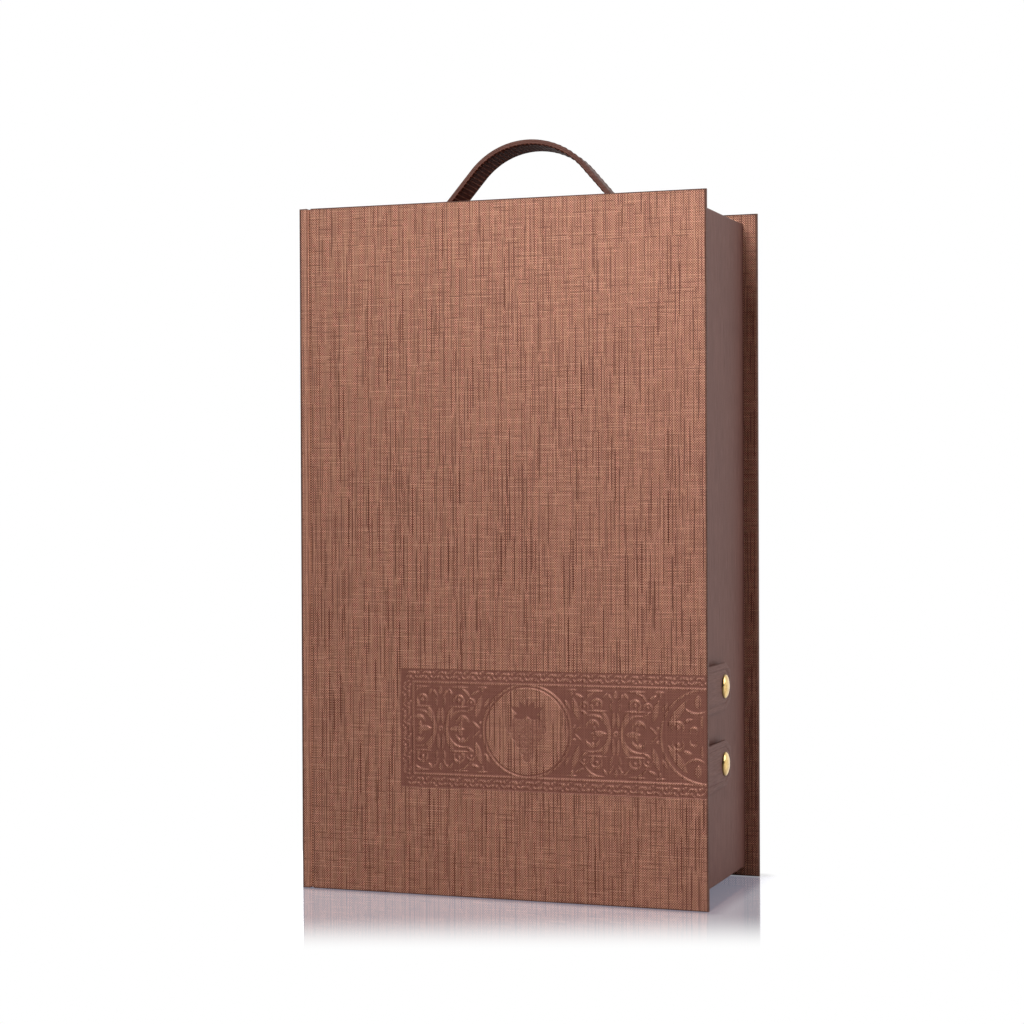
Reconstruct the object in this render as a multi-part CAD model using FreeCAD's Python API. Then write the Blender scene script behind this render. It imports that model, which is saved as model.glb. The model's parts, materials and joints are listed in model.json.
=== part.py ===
import FreeCAD, Part
import math
import os
from FreeCAD import Vector

# A book-style gift box for two wine bottles, in millimetres.
# It stands upright with its front cover towards -Y, its spine at -X and +Z up.
# The origin is the middle of the footprint that the two covers and the spine stand on.

# Driving dimensions of the linen case: front cover, spine and rear cover
cover_width = 216.0
cover_height = 350.0
cover_board = 2.4
spine_board = 3.0
linen = 0.5
turn_in = 15.0
edge_round = 1.0
gutter = 3.0
gutter_dip = 0.3
gutter_end_gap = 0.6

# Driving dimensions of the tray
tray_depth = 101.0
tray_board = 2.5
leatherette = 0.6
rim_gap = 0.6
side_margin = 7.4
end_margin = 5.2
tray_edge_round = 0.9
lip_depth = 12.0
lining_sheet = 0.6
lining_lap = 3.0

# Driving dimensions of the foam insert and its two bottle beds
insert_depth = 66.0
insert_gap = 0.2
bottle_diameter = 76.0
neck_diameter = 30.0
bed_gap = 2.0
bed_floor = 12.0
bed_foot = 8.0
bed_head = 15.0
body_height = 190.0
shoulder_height = 46.0
finger_well_diameter = 48.0
finger_well_depth = 34.0
finger_well_height = 96.0
rim_round = 2.5

# Driving dimensions of the carrying strap
handle_offset = 1.0
handle_span = 108.8
handle_rise = 40.9
handle_leg_angle = 49.0
handle_width = 26.0
strap_leather = 1.4
strap_lining = 1.2
strap_foot_bend = 1.5
strap_tail = 24.0
slot_gap = 0.4
pocket_gap = 1.0

# Driving dimensions of the rivets that hold the strap's tails
rivet_inset = 9.0
rivet_pitch = 14.0
rivet_shank = 4.0
rivet_head = 8.0
rivet_head_thickness = 0.7
rivet_clinch = 6.0
rivet_clinch_thickness = 0.6
washer_diameter = 9.0
washer_thickness = 0.6
rivet_hole_gap = 0.1

# Driving dimensions of the two closing tabs
tab_middle_height = 85.85
tab_pitch = 39.1
tab_width = 23.8
tab_reach = 56.3
tab_tip_length = 10.0
tab_tip_height = 4.3
tab_leather = 0.9
tab_lining = 0.7
tab_standoff = 2.2
tab_hinge_gap = 0.3
tab_root_length = 20.0
let_in_gap = 0.15

# Driving dimensions of the brass press snaps
snap_from_tip = 12.1
cap_diameter = 12.6
cap_height = 1.7
cap_rim = 0.6
cap_sheet = 0.4
cap_post = 3.4
cap_clinch = 0.5
cap_clinch_thickness = 0.2
socket_diameter = 10.4
socket_web = 0.5
socket_round = 0.5
stud_flange = 10.0
stud_flange_thickness = 0.4
stud_neck = 4.6
stud_bulb = 5.6
stud_sheet = 0.4
stud_post = 3.0
stud_post_flange = 9.0
stud_post_flange_thickness = 0.6
snap_gap = 0.15
snap_hole_gap = 0.1

# Driving dimensions of the band of ornament pressed into the front cover
band_left_margin = 55.3
band_foot = 54.3
band_height = 60.5
press_depth = 0.3
border_width = 7.4
border_line = 0.8
medallion_from_left = 123.2
medallion_repeat = 92.4
medallion_radius = 21.7
medallion_groove = 0.9
medallion_ring = 1.0
ornament_gap = 0.9

# Driving dimensions of the damask between the medallions, mirrored to all four sides of its knot
knot_radius = 1.3
bud_reach = 1.5
bud_foot = 2.4
bud_length = 8.2
bud_width = 1.8
bud_lean = 4.0
wing_reach = 3.3
wing_foot = 2.6
wing_length = 9.4
wing_width = 2.6
wing_lean = 22.0
scroll_middle = 11.4
scroll_radius = 9.4
scroll_weight = 2.0
scroll_sweep = 236.0
point_reach = 21.2
point_length = 5.2
point_width = 0.9
point_slant = 43.0
stem_foot = 4.8
stem_length = 8.0
stem_width = 2.6
trefoil_middle = 11.9
trefoil_height = 3.4
trefoil_radius = 3.5
trefoil_weight = 1.7
trefoil_sweep = 200.0
lobe_reach = 10.7
lobe_foot = 0.4
lobe_length = 3.4
lobe_width = 1.5
lobe_lean = 8.0
hook_middle = 9.8
hook_height = 14.4
hook_radius = 3.0
hook_weight = 1.4
hook_facing = 110.0
hook_sweep = 230.0
drop_reach = 12.9
drop_top = 14.9
drop_length = 3.9
drop_width = 1.5
drop_lean = 20.0
bar_reach = 5.0
bar_height = 11.2
bar_length = 9.6
bar_width = 0.9
corner_arc_radius = 6.4
corner_arc_weight = 0.9
corner_arc_facing = 52.0
corner_arc_sweep = 90.0
lintel_reach = 6.2
lintel_height = 21.0
lintel_length = 9.0
lintel_width = 1.0
vee_reach = 1.3
vee_foot = 15.2
vee_length = 4.8
vee_width = 0.9
vee_lean = 24.0
tip_foot = 17.4
tip_length = 3.8
tip_width = 1.7
spandrel_reach = 19.0
spandrel_foot = 6.4
spandrel_length = 11.4
spandrel_width = 3.0
spandrel_lean = 16.0
stub_reach = 22.6
stub_foot = 18.3
stub_length = 3.0
stub_width = 1.3
serif_reach = 20.0
serif_height = 21.2
serif_length = 5.2

# Driving dimensions of the scrolls in the second medallion, mirrored up and down
wreath_radius = 20.3
wreath_weight = 3.6
wreath_facing = 143.0
wreath_sweep = 48.0
volute_reach = 14.6
volute_height = 4.3
volute_radius = 3.2
volute_weight = 1.6
volute_sweep = 270.0
rosette_radius = 1.1
spur_reach = 11.8
spur_foot = 7.2
spur_length = 4.6
spur_width = 1.4
spur_rise = 15.0
cup_reach = 5.6
cup_height = 17.0
cup_radius = 6.4
cup_weight = 1.2
cup_facing = 100.0
cup_sweep = 110.0
plume_reach = 4.4
plume_foot = 13.6
plume_length = 6.6
plume_width = 3.2
reed_reach = 2.4
reed_foot = 4.2
reed_length = 6.2
reed_width = 1.4
curl_reach = 6.6
curl_height = 2.9
curl_radius = 2.1
curl_weight = 1.2

# Places that follow from the sizes above
cover_stack = linen + cover_board + linen
case_depth = 2 * cover_stack + rim_gap + tray_depth
left = -cover_width / 2
right = cover_width / 2
front = -case_depth / 2
rear = case_depth / 2
cover_inner = front + cover_stack
front_board_inner = cover_inner - linen
spine_inner = left + linen + spine_board
cover_left = spine_inner + gutter

tray_left = spine_inner
tray_right = right - side_margin
tray_bottom = end_margin
tray_top = cover_height - end_margin
tray_rim = cover_inner + rim_gap
tray_rear = tray_rim + tray_depth
tray_floor = tray_rear - tray_board

board_left = tray_left + leatherette
board_right = tray_right - leatherette
board_bottom = tray_bottom + leatherette
board_top = tray_top - leatherette
board_rim = tray_rim + leatherette
inner_left = board_left + tray_board
inner_right = board_right - tray_board
inner_bottom = board_bottom + tray_board
inner_top = board_top - tray_board

insert_front = tray_floor - insert_depth
insert_side_gap = lining_sheet + insert_gap
insert_left = inner_left + insert_side_gap
insert_right = inner_right - insert_side_gap
insert_bottom = inner_bottom + insert_side_gap
insert_top = inner_top - insert_side_gap
bed_radius = bottle_diameter / 2 + bed_gap
neck_radius = neck_diameter / 2 + bed_gap
bed_axis = tray_floor - bed_floor - bed_radius
bed_web = (insert_right - insert_left - 4 * bed_radius) / 3
bed_rim_round = min(rim_round, bed_web / 3)
bed_pitch = 2 * bed_radius + bed_web
insert_middle = (insert_left + insert_right) / 2

strap_thickness = strap_leather + strap_lining
leg_angle = math.radians(handle_leg_angle)
leg_crossing = handle_span / 2 * math.tan(leg_angle)
crown_radius = (leg_crossing - handle_rise) / (1 / math.cos(leg_angle) - 1)
foot_reach = handle_span / 2 + (tray_top - inner_top) / math.tan(leg_angle)
slot_inner = handle_span / 2 - strap_thickness / math.sin(leg_angle) - slot_gap
slot_outer = foot_reach + strap_foot_bend * math.tan(leg_angle / 2) + slot_gap
tail_end = foot_reach + strap_tail

tab_inner = tray_right + tab_standoff
tab_outer = tab_inner + tab_lining + tab_leather
tab_start = cover_inner + tab_hinge_gap
tab_tip = cover_inner + tab_reach
snap_depth = tab_tip - snap_from_tip
tab_heights = {
    "upper": tab_middle_height + tab_pitch / 2,
    "lower": tab_middle_height - tab_pitch / 2,
}
cap_grip = tab_leather + tab_lining + socket_web
socket_height = tab_standoff - stud_flange_thickness - snap_gap
stud_height = tab_standoff - socket_web - cap_clinch_thickness - snap_gap
stud_bore = stud_post / 2 + snap_hole_gap

band_left = left + band_left_margin
band_top = band_foot + band_height
band_middle = band_foot + band_height / 2
medallion_x = left + medallion_from_left
ring_inner = medallion_radius + medallion_groove
ring_outer = ring_inner + medallion_ring


# Shapes that the pieces share

def box(x0, x1, y0, y1, z0, z1):
    """A block between two corners."""
    return Part.makeBox(x1 - x0, y1 - y0, z1 - z0, Vector(x0, y0, z0))


def rounded(solid, radius, chosen):
    """The solid with those edges rounded whose middles pass a test."""
    edges = [edge for edge in solid.Edges if chosen(edge.CenterOfMass)]
    return solid.makeFillet(radius, edges)


def outline(start, *steps):
    """A closed face in the XZ plane; a step is a line's end, or an arc's middle and end."""
    edges = []
    here = Vector(start[0], 0, start[1])
    for step in (*steps, start):
        points = [step] if isinstance(step[0], (int, float)) else step
        ends = [Vector(x, 0, z) for x, z in points]
        if len(ends) == 1:
            edges.append(Part.LineSegment(here, ends[0]).toShape())
        else:
            edges.append(Part.Arc(here, *ends).toShape())
        here = ends[-1]
    return Part.Face(Part.Wire(edges))


def turned(profile, base, direction):
    """A face of radius and height, turned about its axis and stood on a base point."""
    solid = profile.revolve(Vector(0, 0, 0), Vector(0, 0, 1), 360)
    turn = FreeCAD.Rotation(Vector(0, 0, 1), direction)
    solid.Placement = FreeCAD.Placement(base, turn)
    return solid


def rod(radius, base, end):
    """A round rod between two points."""
    return Part.makeCylinder(radius, (end - base).Length, base, end - base)


def sideways_run(corners, bends, offset):
    """Edges of straight runs and tangent arcs through corners, moved to their left."""
    across = Vector(0, 1, 0)
    edges = []
    way = (corners[1] - corners[0]).normalize()
    here = corners[0] + way.cross(across) * offset
    for corner, following, bend in zip(corners[1:-1], corners[2:], bends):
        way_on = (following - corner).normalize()
        tangent = bend * math.tan(way.getAngle(way_on) / 2)
        side, side_on = way.cross(across), way_on.cross(across)
        begin, end = corner - way * tangent, corner + way_on * tangent
        inwards = (way_on - way).normalize()
        reach = math.hypot(bend, tangent)
        middle = corner + inwards * (reach - bend)
        middle_side = (side + side_on).normalize()
        edges.append(Part.LineSegment(here, begin + side * offset).toShape())
        here = end + side_on * offset
        arc = Part.Arc(begin + side * offset, middle + middle_side * offset, here)
        edges.append(arc.toShape())
        way = way_on
    last = corners[-1] + way.cross(across) * offset
    edges.append(Part.LineSegment(here, last).toShape())
    return edges, last


def mirrored_x(shape, x):
    """The shape's mirror image across a plane of constant x."""
    return shape.mirror(Vector(x, 0, 0), Vector(1, 0, 0))


# Linen case

def front_cover_block():
    """The closed front cover's outside, with the linen drawn round its edges."""
    block = box(cover_left, right, front, cover_inner, 0, cover_height)
    middle = (front + cover_inner) / 2

    def drawn_round(c):
        beside_gutter = abs(c.x - cover_left) < linen and c.y < middle
        return abs(c.y - middle) > cover_stack / 4 and not beside_gutter

    return rounded(block, edge_round, drawn_round)


def make_front_cover_board():
    """Greyboard of the front cover, pressed with the band and let in for the tab roots."""
    board = box(cover_left + linen, right - linen, front + linen, front_board_inner,
                linen, cover_height - linen)
    board = board.cut(band_recess(front + linen))
    for height in tab_heights.values():
        board = board.cut(tab_root_pocket(height))
    return board


def make_front_cover_wrap():
    """Linen round the front board and over its back, slit where the two tabs come through."""
    wrap = front_cover_block().cut(make_front_cover_board())
    wrap = wrap.cut(make_front_cover_liner()).cut(band_recess(front))
    for height in tab_heights.values():
        wrap = wrap.cut(tab_root_pocket(height)).cut(tab_slit(height))
    return wrap


def make_front_cover_liner():
    """Paper inside the frame that the linen's turned edges leave on the front cover."""
    return box(cover_left + turn_in, right - turn_in, front_board_inner, cover_inner,
               turn_in, cover_height - turn_in)


def make_rear_cover_board():
    """Greyboard of the rear cover."""
    return box(left + linen, right - linen, rear - linen - cover_board, rear - linen,
               linen, cover_height - linen)


def make_rear_cover_liner():
    """Paper between the rear cover's turned edges, which the tray is glued to."""
    return box(spine_inner + turn_in, right - turn_in, rear - cover_stack,
               rear - cover_stack + linen, turn_in, cover_height - turn_in)


def make_rear_cover_wrap():
    """Linen round the rear board, with its edges turned in under the tray."""
    inner = rear - cover_stack
    block = box(left, right, inner, rear, 0, cover_height)

    def outside(c):
        turned_edge = abs(c.y - inner) < linen and c.x > left + linen
        return abs(c.y - rear) < linen or turned_edge

    block = rounded(block, edge_round, outside)
    return block.cut(make_rear_cover_board()).cut(make_rear_cover_liner())


def make_spine_board():
    """Greyboard of the spine, glued to the tray's left wall."""
    return box(left + linen, spine_inner, front + linen, rear - cover_stack,
               linen, cover_height - linen)


def make_spine_wrap():
    """Linen over the spine's face, front edge and ends, turned in above and below the tray."""
    block = box(left, spine_inner, front, rear - cover_stack, 0, cover_height)
    block = rounded(block, edge_round, lambda c: abs(c.y - front) < linen and c.x < spine_inner - linen)
    wrap = block.cut(make_spine_board())
    for foot in (0, tray_top):
        turned_edge = box(spine_inner, spine_inner + linen, front + gutter_dip + linen,
                          rear - cover_stack, foot, foot + end_margin)
        wrap = wrap.fuse(turned_edge)
    return wrap.removeSplitter()


def make_gutter_hinge():
    """Bare linen between spine and front cover, which the cover swings on."""
    return box(spine_inner, cover_left, front + gutter_dip, front + gutter_dip + linen,
               gutter_end_gap, cover_height - gutter_end_gap)


# Band of ornament on the front cover

def crescent(x, z, radius, weight, facing, sweep):
    """A scroll that swells from a point to its weight and back, about the way it faces."""
    def at(distance, degrees):
        turn = math.radians(degrees)
        return (x + distance * math.cos(turn), z + distance * math.sin(turn))

    begin, end = facing - sweep / 2, facing + sweep / 2
    outside = (at(radius, facing), at(radius, end))
    inside = (at(radius - weight, facing), at(radius, begin))
    return outline_of_arcs(at(radius, begin), outside, inside)


def leaf(x, z, length, width, degrees):
    """A pointed leaf that grows from a point at an angle."""
    turn = math.radians(degrees)
    along = (math.cos(turn), math.sin(turn))
    side = (-along[1] * width / 2, along[0] * width / 2)
    tip = (x + length * along[0], z + length * along[1])
    middle = (x + length / 2 * along[0], z + length / 2 * along[1])
    one = (middle[0] + side[0], middle[1] + side[1])
    other = (middle[0] - side[0], middle[1] - side[1])
    return outline_of_arcs((x, z), (one, tip), (other, (x, z)))


def outline_of_arcs(start, *arcs):
    """A closed face in the XZ plane made of arcs alone, each a middle and an end."""
    edges = []
    here = Vector(start[0], 0, start[1])
    for middle, end in arcs:
        finish = Vector(end[0], 0, end[1])
        edges.append(Part.Arc(here, Vector(middle[0], 0, middle[1]), finish).toShape())
        here = finish
    return Part.Face(Part.Wire(edges))


def disc(x, z, radius):
    """A round face in the XZ plane."""
    circle = Part.makeCircle(radius, Vector(x, 0, z), Vector(0, 1, 0))
    return Part.Face(Part.Wire([circle]))


def quarter_of_damask(x, across, up):
    """Faces of one quarter of the damask about its knot at x; across and up are 1 or -1."""
    def heading(degrees):
        turn = degrees if across > 0 else 180 - degrees
        return turn if up > 0 else -turn

    def grown(u, v, length, width, degrees):
        return leaf(x + across * u, band_middle + up * v, length, width, heading(degrees))

    def curled(u, v, radius, weight, facing, sweep):
        return crescent(x + across * u, band_middle + up * v, radius, weight, heading(facing), sweep)

    point = math.radians(point_slant)
    point_u = point_reach - point_length * math.cos(point)
    point_v = point_length * math.sin(point) + ornament_gap / 2
    return [
        grown(bud_reach, bud_foot, bud_length, bud_width, 90 + bud_lean),
        grown(wing_reach, wing_foot, wing_length, wing_width, 90 - wing_lean),
        grown(point_u, point_v, point_length, point_width, -point_slant),
        curled(trefoil_middle, trefoil_height, trefoil_radius, trefoil_weight, 90, trefoil_sweep),
        grown(lobe_reach, lobe_foot, lobe_length, lobe_width, 90 - lobe_lean),
        curled(hook_middle, hook_height, hook_radius, hook_weight, hook_facing, hook_sweep),
        grown(drop_reach, drop_top, drop_length, drop_width, -90 - drop_lean),
        grown(bar_reach, bar_height, bar_length, bar_width, 0),
        curled(hook_middle, hook_height, corner_arc_radius, corner_arc_weight,
               corner_arc_facing, corner_arc_sweep),
        grown(lintel_reach, lintel_height, lintel_length, lintel_width, 0),
        grown(vee_reach, vee_foot, vee_length, vee_width, 90 - vee_lean),
        grown(spandrel_reach, spandrel_foot, spandrel_length, spandrel_width, 90 - spandrel_lean),
        grown(stub_reach, stub_foot, stub_length, stub_width, 90),
        grown(serif_reach, serif_height, serif_length, bar_width, 0),
    ]


def damask_panel(x):
    """Faces of the damask that fills the field round a knot at x."""
    faces = [disc(x, band_middle, knot_radius)]
    for up, upward in ((1, 90), (-1, 270)):
        faces.append(leaf(x, band_middle + up * tip_foot, tip_length, tip_width, upward))
        faces += quarter_of_damask(x, 1, up) + quarter_of_damask(x, -1, up)
    for across, outward in ((1, 0), (-1, 180)):
        faces.append(crescent(x + across * scroll_middle, band_middle, scroll_radius, scroll_weight,
                              outward + 180, scroll_sweep))
        faces.append(leaf(x + across * stem_foot, band_middle, stem_length, stem_width, outward))
    return faces


def half_of_wreath(x, up):
    """Faces of one half of the scrolls inside a medallion at x; up is 1 or -1."""
    def grown(reach, foot, length, width, degrees):
        return leaf(x - reach, band_middle + up * foot, length, width, up * degrees)

    def curled(reach, height, radius, weight, facing, sweep):
        return crescent(x - reach, band_middle + up * height, radius, weight, up * facing, sweep)

    return [
        curled(0, 0, wreath_radius, wreath_weight, wreath_facing, wreath_sweep),
        curled(volute_reach, volute_height, volute_radius, volute_weight, 90, volute_sweep),
        disc(x - volute_reach, band_middle + up * volute_height, rosette_radius),
        grown(spur_reach, spur_foot, spur_length, spur_width, spur_rise),
        curled(cup_reach, cup_height, cup_radius, cup_weight, -cup_facing, cup_sweep),
        grown(plume_reach, plume_foot, plume_length, plume_width, 90),
        grown(reed_reach, reed_foot, reed_length, reed_width, 90),
        curled(curl_reach, curl_height, curl_radius, curl_weight, 90, volute_sweep),
    ]


def wreath(x):
    """Faces of the scrolls inside a medallion at x that the cover's edge cuts through."""
    return half_of_wreath(x, 1) + half_of_wreath(x, -1)


def ring(x):
    """Face of the raised ring round a medallion."""
    return disc(x, band_middle, ring_outer).cut(disc(x, band_middle, ring_inner))


def border_frame(inset):
    """Face of a raised line along the band's left, top and bottom, at an inset."""
    def frame(extra):
        x0, z0 = band_left + inset + extra, band_foot + inset + extra
        z1 = band_top - inset - extra
        return outline((x0, z0), (right, z0), (right, z1), (x0, z1))

    return frame(0).cut(frame(border_line))


def band_recess(surface):
    """What the press takes from a surface: the band without the forms that stay raised."""
    beyond = right + linen
    second = medallion_x + medallion_repeat
    half_way = medallion_repeat / 2
    inset = border_width + ornament_gap
    field = outline((band_left, band_foot), (beyond, band_foot), (beyond, band_top), (band_left, band_top))
    inner_field = outline((band_left + inset, band_foot + inset), (beyond, band_foot + inset),
                          (beyond, band_top - inset), (band_left + inset, band_top - inset))
    damask = damask_panel(medallion_x - half_way) + damask_panel(medallion_x + half_way)
    raised = [disc(medallion_x, band_middle, medallion_radius), ring(medallion_x), ring(second)]
    raised += [border_frame(border_width - border_line), inner_field.common(damask), *wreath(second)]
    pressed = field.cut(raised)
    pressed.translate(Vector(0, surface, 0))
    return pressed.extrude(Vector(0, press_depth, 0))


# Tray

def make_tray_back():
    """Greyboard of the tray's back, glued to the rear cover."""
    return box(board_left, board_right, tray_floor, tray_rear, board_bottom, board_top)


def make_tray_top_wall():
    """Top wall, slotted for the strap and counterbored for its rivets."""
    wall = box(board_left, board_right, board_rim, tray_floor, inner_top, board_top)
    for slot in strap_slots():
        wall = wall.cut(slot)
    for x, y in rivet_places():
        top = Vector(x, y, board_top)
        wall = wall.cut(rod(rivet_shank / 2 + rivet_hole_gap, top, Vector(x, y, inner_top)))
        seat = Vector(x, y, board_top - rivet_head_thickness)
        wall = wall.cut(rod(rivet_head / 2 + rivet_hole_gap, top, seat))
    return wall


def make_tray_bottom_wall():
    """Bottom wall."""
    return box(board_left, board_right, board_rim, tray_floor, board_bottom, inner_bottom)


def make_tray_left_wall():
    """Left wall, behind the spine."""
    return box(board_left, inner_left, board_rim, tray_floor, inner_bottom, inner_top)


def make_tray_right_wall():
    """Right wall, bored for the posts of the two snap studs."""
    wall = box(inner_right, board_right, board_rim, tray_floor, inner_bottom, inner_top)
    for height in tab_heights.values():
        inside = Vector(inner_right, snap_depth, height)
        outside = Vector(board_right, snap_depth, height)
        seat = Vector(inner_right + stud_post_flange_thickness, snap_depth, height)
        wall = wall.cut(rod(stud_bore, inside, outside))
        wall = wall.cut(rod(stud_post_flange / 2 + snap_hole_gap, inside, seat))
    return wall


def make_tray_wrap():
    """Leatherette round the four walls, over their rims and a little way inside."""
    outer = box(tray_left, tray_right, tray_rim, tray_rear, tray_bottom, tray_top)
    half_depth = (tray_rim + tray_rear) / 2

    def outside(c):
        return abs(c.y - tray_rim) < leatherette or abs(c.y - half_depth) < leatherette

    outer = rounded(outer, tray_edge_round, outside)
    boards = box(board_left, board_right, board_rim, tray_rear + leatherette, board_bottom, board_top)
    mouth = box(inner_left + leatherette, inner_right - leatherette, tray_rim - leatherette, tray_rear,
                inner_bottom + leatherette, inner_top - leatherette)
    lip = box(inner_left, inner_right, board_rim, tray_rim + lip_depth, inner_bottom, inner_top)
    wrap = outer.cut(boards).fuse(lip).cut(mouth)
    for slot in strap_slots():
        wrap = wrap.cut(slot)
    for height in tab_heights.values():
        inside = Vector(board_right, snap_depth, height)
        wrap = wrap.cut(rod(stud_bore, inside, Vector(tray_right, snap_depth, height)))
    return wrap.removeSplitter()


def make_wall_lining():
    """Flocked paper on the walls, from the leatherette's lip to behind the insert's face."""
    begin, end = tray_rim + lip_depth, insert_front + lining_lap
    sheet = box(inner_left, inner_right, begin, end, inner_bottom, inner_top)
    space = box(inner_left + lining_sheet, inner_right - lining_sheet, begin, end,
                inner_bottom + lining_sheet, inner_top - lining_sheet)
    lining = sheet.cut(space)
    for pocket in strap_pockets():
        lining = lining.cut(pocket)
    return lining


# Foam insert

def bottle_profile():
    """Half of a bottle bed in radius and height: body, S-shaped shoulder and neck."""
    height = insert_top - insert_bottom - bed_foot - bed_head
    step = (bed_radius - neck_radius) / 2
    rise = shoulder_height / 2
    bend = (step ** 2 + rise ** 2) / (2 * step)
    half_turn = math.asin(rise / bend) / 2
    sag, climb = bend * (1 - math.cos(half_turn)), bend * math.sin(half_turn)
    shoulder_top = body_height + shoulder_height
    half_way = (bed_radius - step, body_height + rise)
    return outline(
        (0, 0),
        (bed_radius, 0),
        (bed_radius, body_height),
        ((bed_radius - sag, body_height + climb), half_way),
        ((neck_radius + sag, shoulder_top - climb), (neck_radius, shoulder_top)),
        (neck_radius, height),
        (0, height),
    )


def bottle_bed(x):
    """The space that one bottle takes in the foam, open towards the front."""
    profile = bottle_profile()
    bed = profile.revolve(Vector(0, 0, 0), Vector(0, 0, 1), 360)
    way_out = profile.extrude(Vector(0, insert_front - bed_axis - insert_depth, 0))
    bed = bed.fuse([way_out, mirrored_x(way_out, 0)]).removeSplitter()
    bed.translate(Vector(x, bed_axis, insert_bottom + bed_foot))
    return bed


def make_bottle_insert():
    """Foam block with two bottle beds, a finger well between them and softened rims."""
    foam = box(insert_left, insert_right, insert_front, tray_floor, insert_bottom, insert_top)
    for side in (-1, 1):
        foam = foam.cut(bottle_bed(insert_middle + side * bed_pitch / 2))
    well = Vector(insert_middle, insert_front, insert_bottom + bed_foot + finger_well_height)
    foam = foam.cut(rod(finger_well_diameter / 2, well, well + Vector(0, finger_well_depth, 0)))

    def bed_rim(c):
        inside = insert_left < c.x - bed_rim_round and c.x + bed_rim_round < insert_right
        level = insert_bottom < c.z - bed_rim_round and c.z + bed_rim_round < insert_top
        return abs(c.y - insert_front) < insert_gap and inside and level

    foam = rounded(foam, bed_rim_round, bed_rim)
    for pocket in strap_pockets():
        foam = foam.cut(pocket)
    return foam


# Carrying strap

def strap_layer(near, far):
    """One layer of the strap, between two depths below its outer face."""
    feet = (Vector(-foot_reach, 0, inner_top), Vector(foot_reach, 0, inner_top))
    crossing = Vector(0, 0, tray_top + leg_crossing)
    ends = (Vector(-tail_end, 0, inner_top), Vector(tail_end, 0, inner_top))
    corners = (ends[0], feet[0], crossing, feet[1], ends[1])
    bends = (strap_foot_bend, crown_radius, strap_foot_bend)
    upper, upper_end = sideways_run(corners, bends, -near)
    lower, lower_end = sideways_run(corners, bends, -far)
    begin_cap = Part.LineSegment(ends[0] + Vector(0, 0, -near), ends[0] + Vector(0, 0, -far))
    end_cap = Part.LineSegment(upper_end, lower_end)
    edges = upper + lower + [begin_cap.toShape(), end_cap.toShape()]
    face = Part.Face(Part.Wire(Part.__sortEdges__(edges)))
    layer = face.extrude(Vector(0, handle_width, 0))
    layer.translate(Vector(handle_offset, -handle_width / 2, 0))
    for x, y in rivet_places():
        hole = rod(rivet_shank / 2 + rivet_hole_gap, Vector(x, y, inner_top),
                   Vector(x, y, inner_top - strap_thickness))
        layer = layer.cut(hole)
    return layer


def make_handle_strap():
    """Outer leatherette of the carrying strap."""
    return strap_layer(0, strap_leather)


def make_handle_lining():
    """Inner layer of the carrying strap."""
    return strap_layer(strap_leather, strap_thickness)


def strap_slots():
    """The two slots in the tray's top that the strap passes through."""
    half = handle_width / 2 + slot_gap
    slots = []
    for x0, x1 in ((-slot_outer, -slot_inner), (slot_inner, slot_outer)):
        slots.append(box(handle_offset + x0, handle_offset + x1, -half, half, inner_top, tray_top))
    return slots


def strap_pockets():
    """The two spaces under the tray's top that the strap's tails and rivets lie in."""
    half = handle_width / 2 + pocket_gap
    drop = strap_thickness + washer_thickness + rivet_clinch_thickness + pocket_gap
    pockets = []
    for side in (-1, 1):
        x0, x1 = sorted((side * (slot_inner - pocket_gap), side * (tail_end + pocket_gap)))
        pockets.append(box(handle_offset + x0, handle_offset + x1, -half, half,
                           inner_top - drop, inner_top))
    return pockets


def rivet_places():
    """Where the four rivets stand, in x and y."""
    reach = tail_end - rivet_inset
    sides = (handle_offset - reach, handle_offset + reach)
    return [(x, y) for x in sides for y in (-rivet_pitch / 2, rivet_pitch / 2)]


def make_handle_rivets():
    """Flat-headed rivets through the top wall and the strap's tails, clinched inside."""
    shank, head, clinch = rivet_shank / 2, rivet_head / 2, rivet_clinch / 2
    grip = tray_board + strap_thickness + washer_thickness
    profile = outline(
        (0, 0),
        (head, 0),
        (head, rivet_head_thickness),
        (shank, rivet_head_thickness),
        (shank, grip),
        (clinch, grip),
        (clinch, grip + rivet_clinch_thickness),
        (0, grip + rivet_clinch_thickness),
    )
    down = Vector(0, 0, -1)
    return Part.Compound([turned(profile, Vector(x, y, board_top), down) for x, y in rivet_places()])


def make_handle_washers():
    """Washers between the strap's tails and the rivets' clinched ends."""
    washers = []
    for x, y in rivet_places():
        top = Vector(x, y, inner_top - strap_thickness)
        bottom = top - Vector(0, 0, washer_thickness)
        hole = rod(rivet_shank / 2 + rivet_hole_gap, top, bottom)
        washers.append(rod(washer_diameter / 2, top, bottom).cut(hole))
    return Part.Compound(washers)


# Closing tabs and snaps

def tab_span(height):
    """Bottom and top of a tab that stands at a height."""
    return height - tab_width / 2, height + tab_width / 2


def tab_root_pocket(height):
    """Shallow pocket in the front board's back for one tab's glued root."""
    z0, z1 = tab_span(height)
    return box(tab_outer - tab_root_length - let_in_gap, tab_outer + let_in_gap,
               front_board_inner - tab_leather, front_board_inner, z0 - let_in_gap, z1 + let_in_gap)


def tab_slit(height):
    """Slit in the turned linen that one tab comes out of."""
    z0, z1 = tab_span(height)
    return box(tab_outer - tab_leather - let_in_gap, tab_outer + let_in_gap,
               front_board_inner, cover_inner, z0 - let_in_gap, z1 + let_in_gap)


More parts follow.
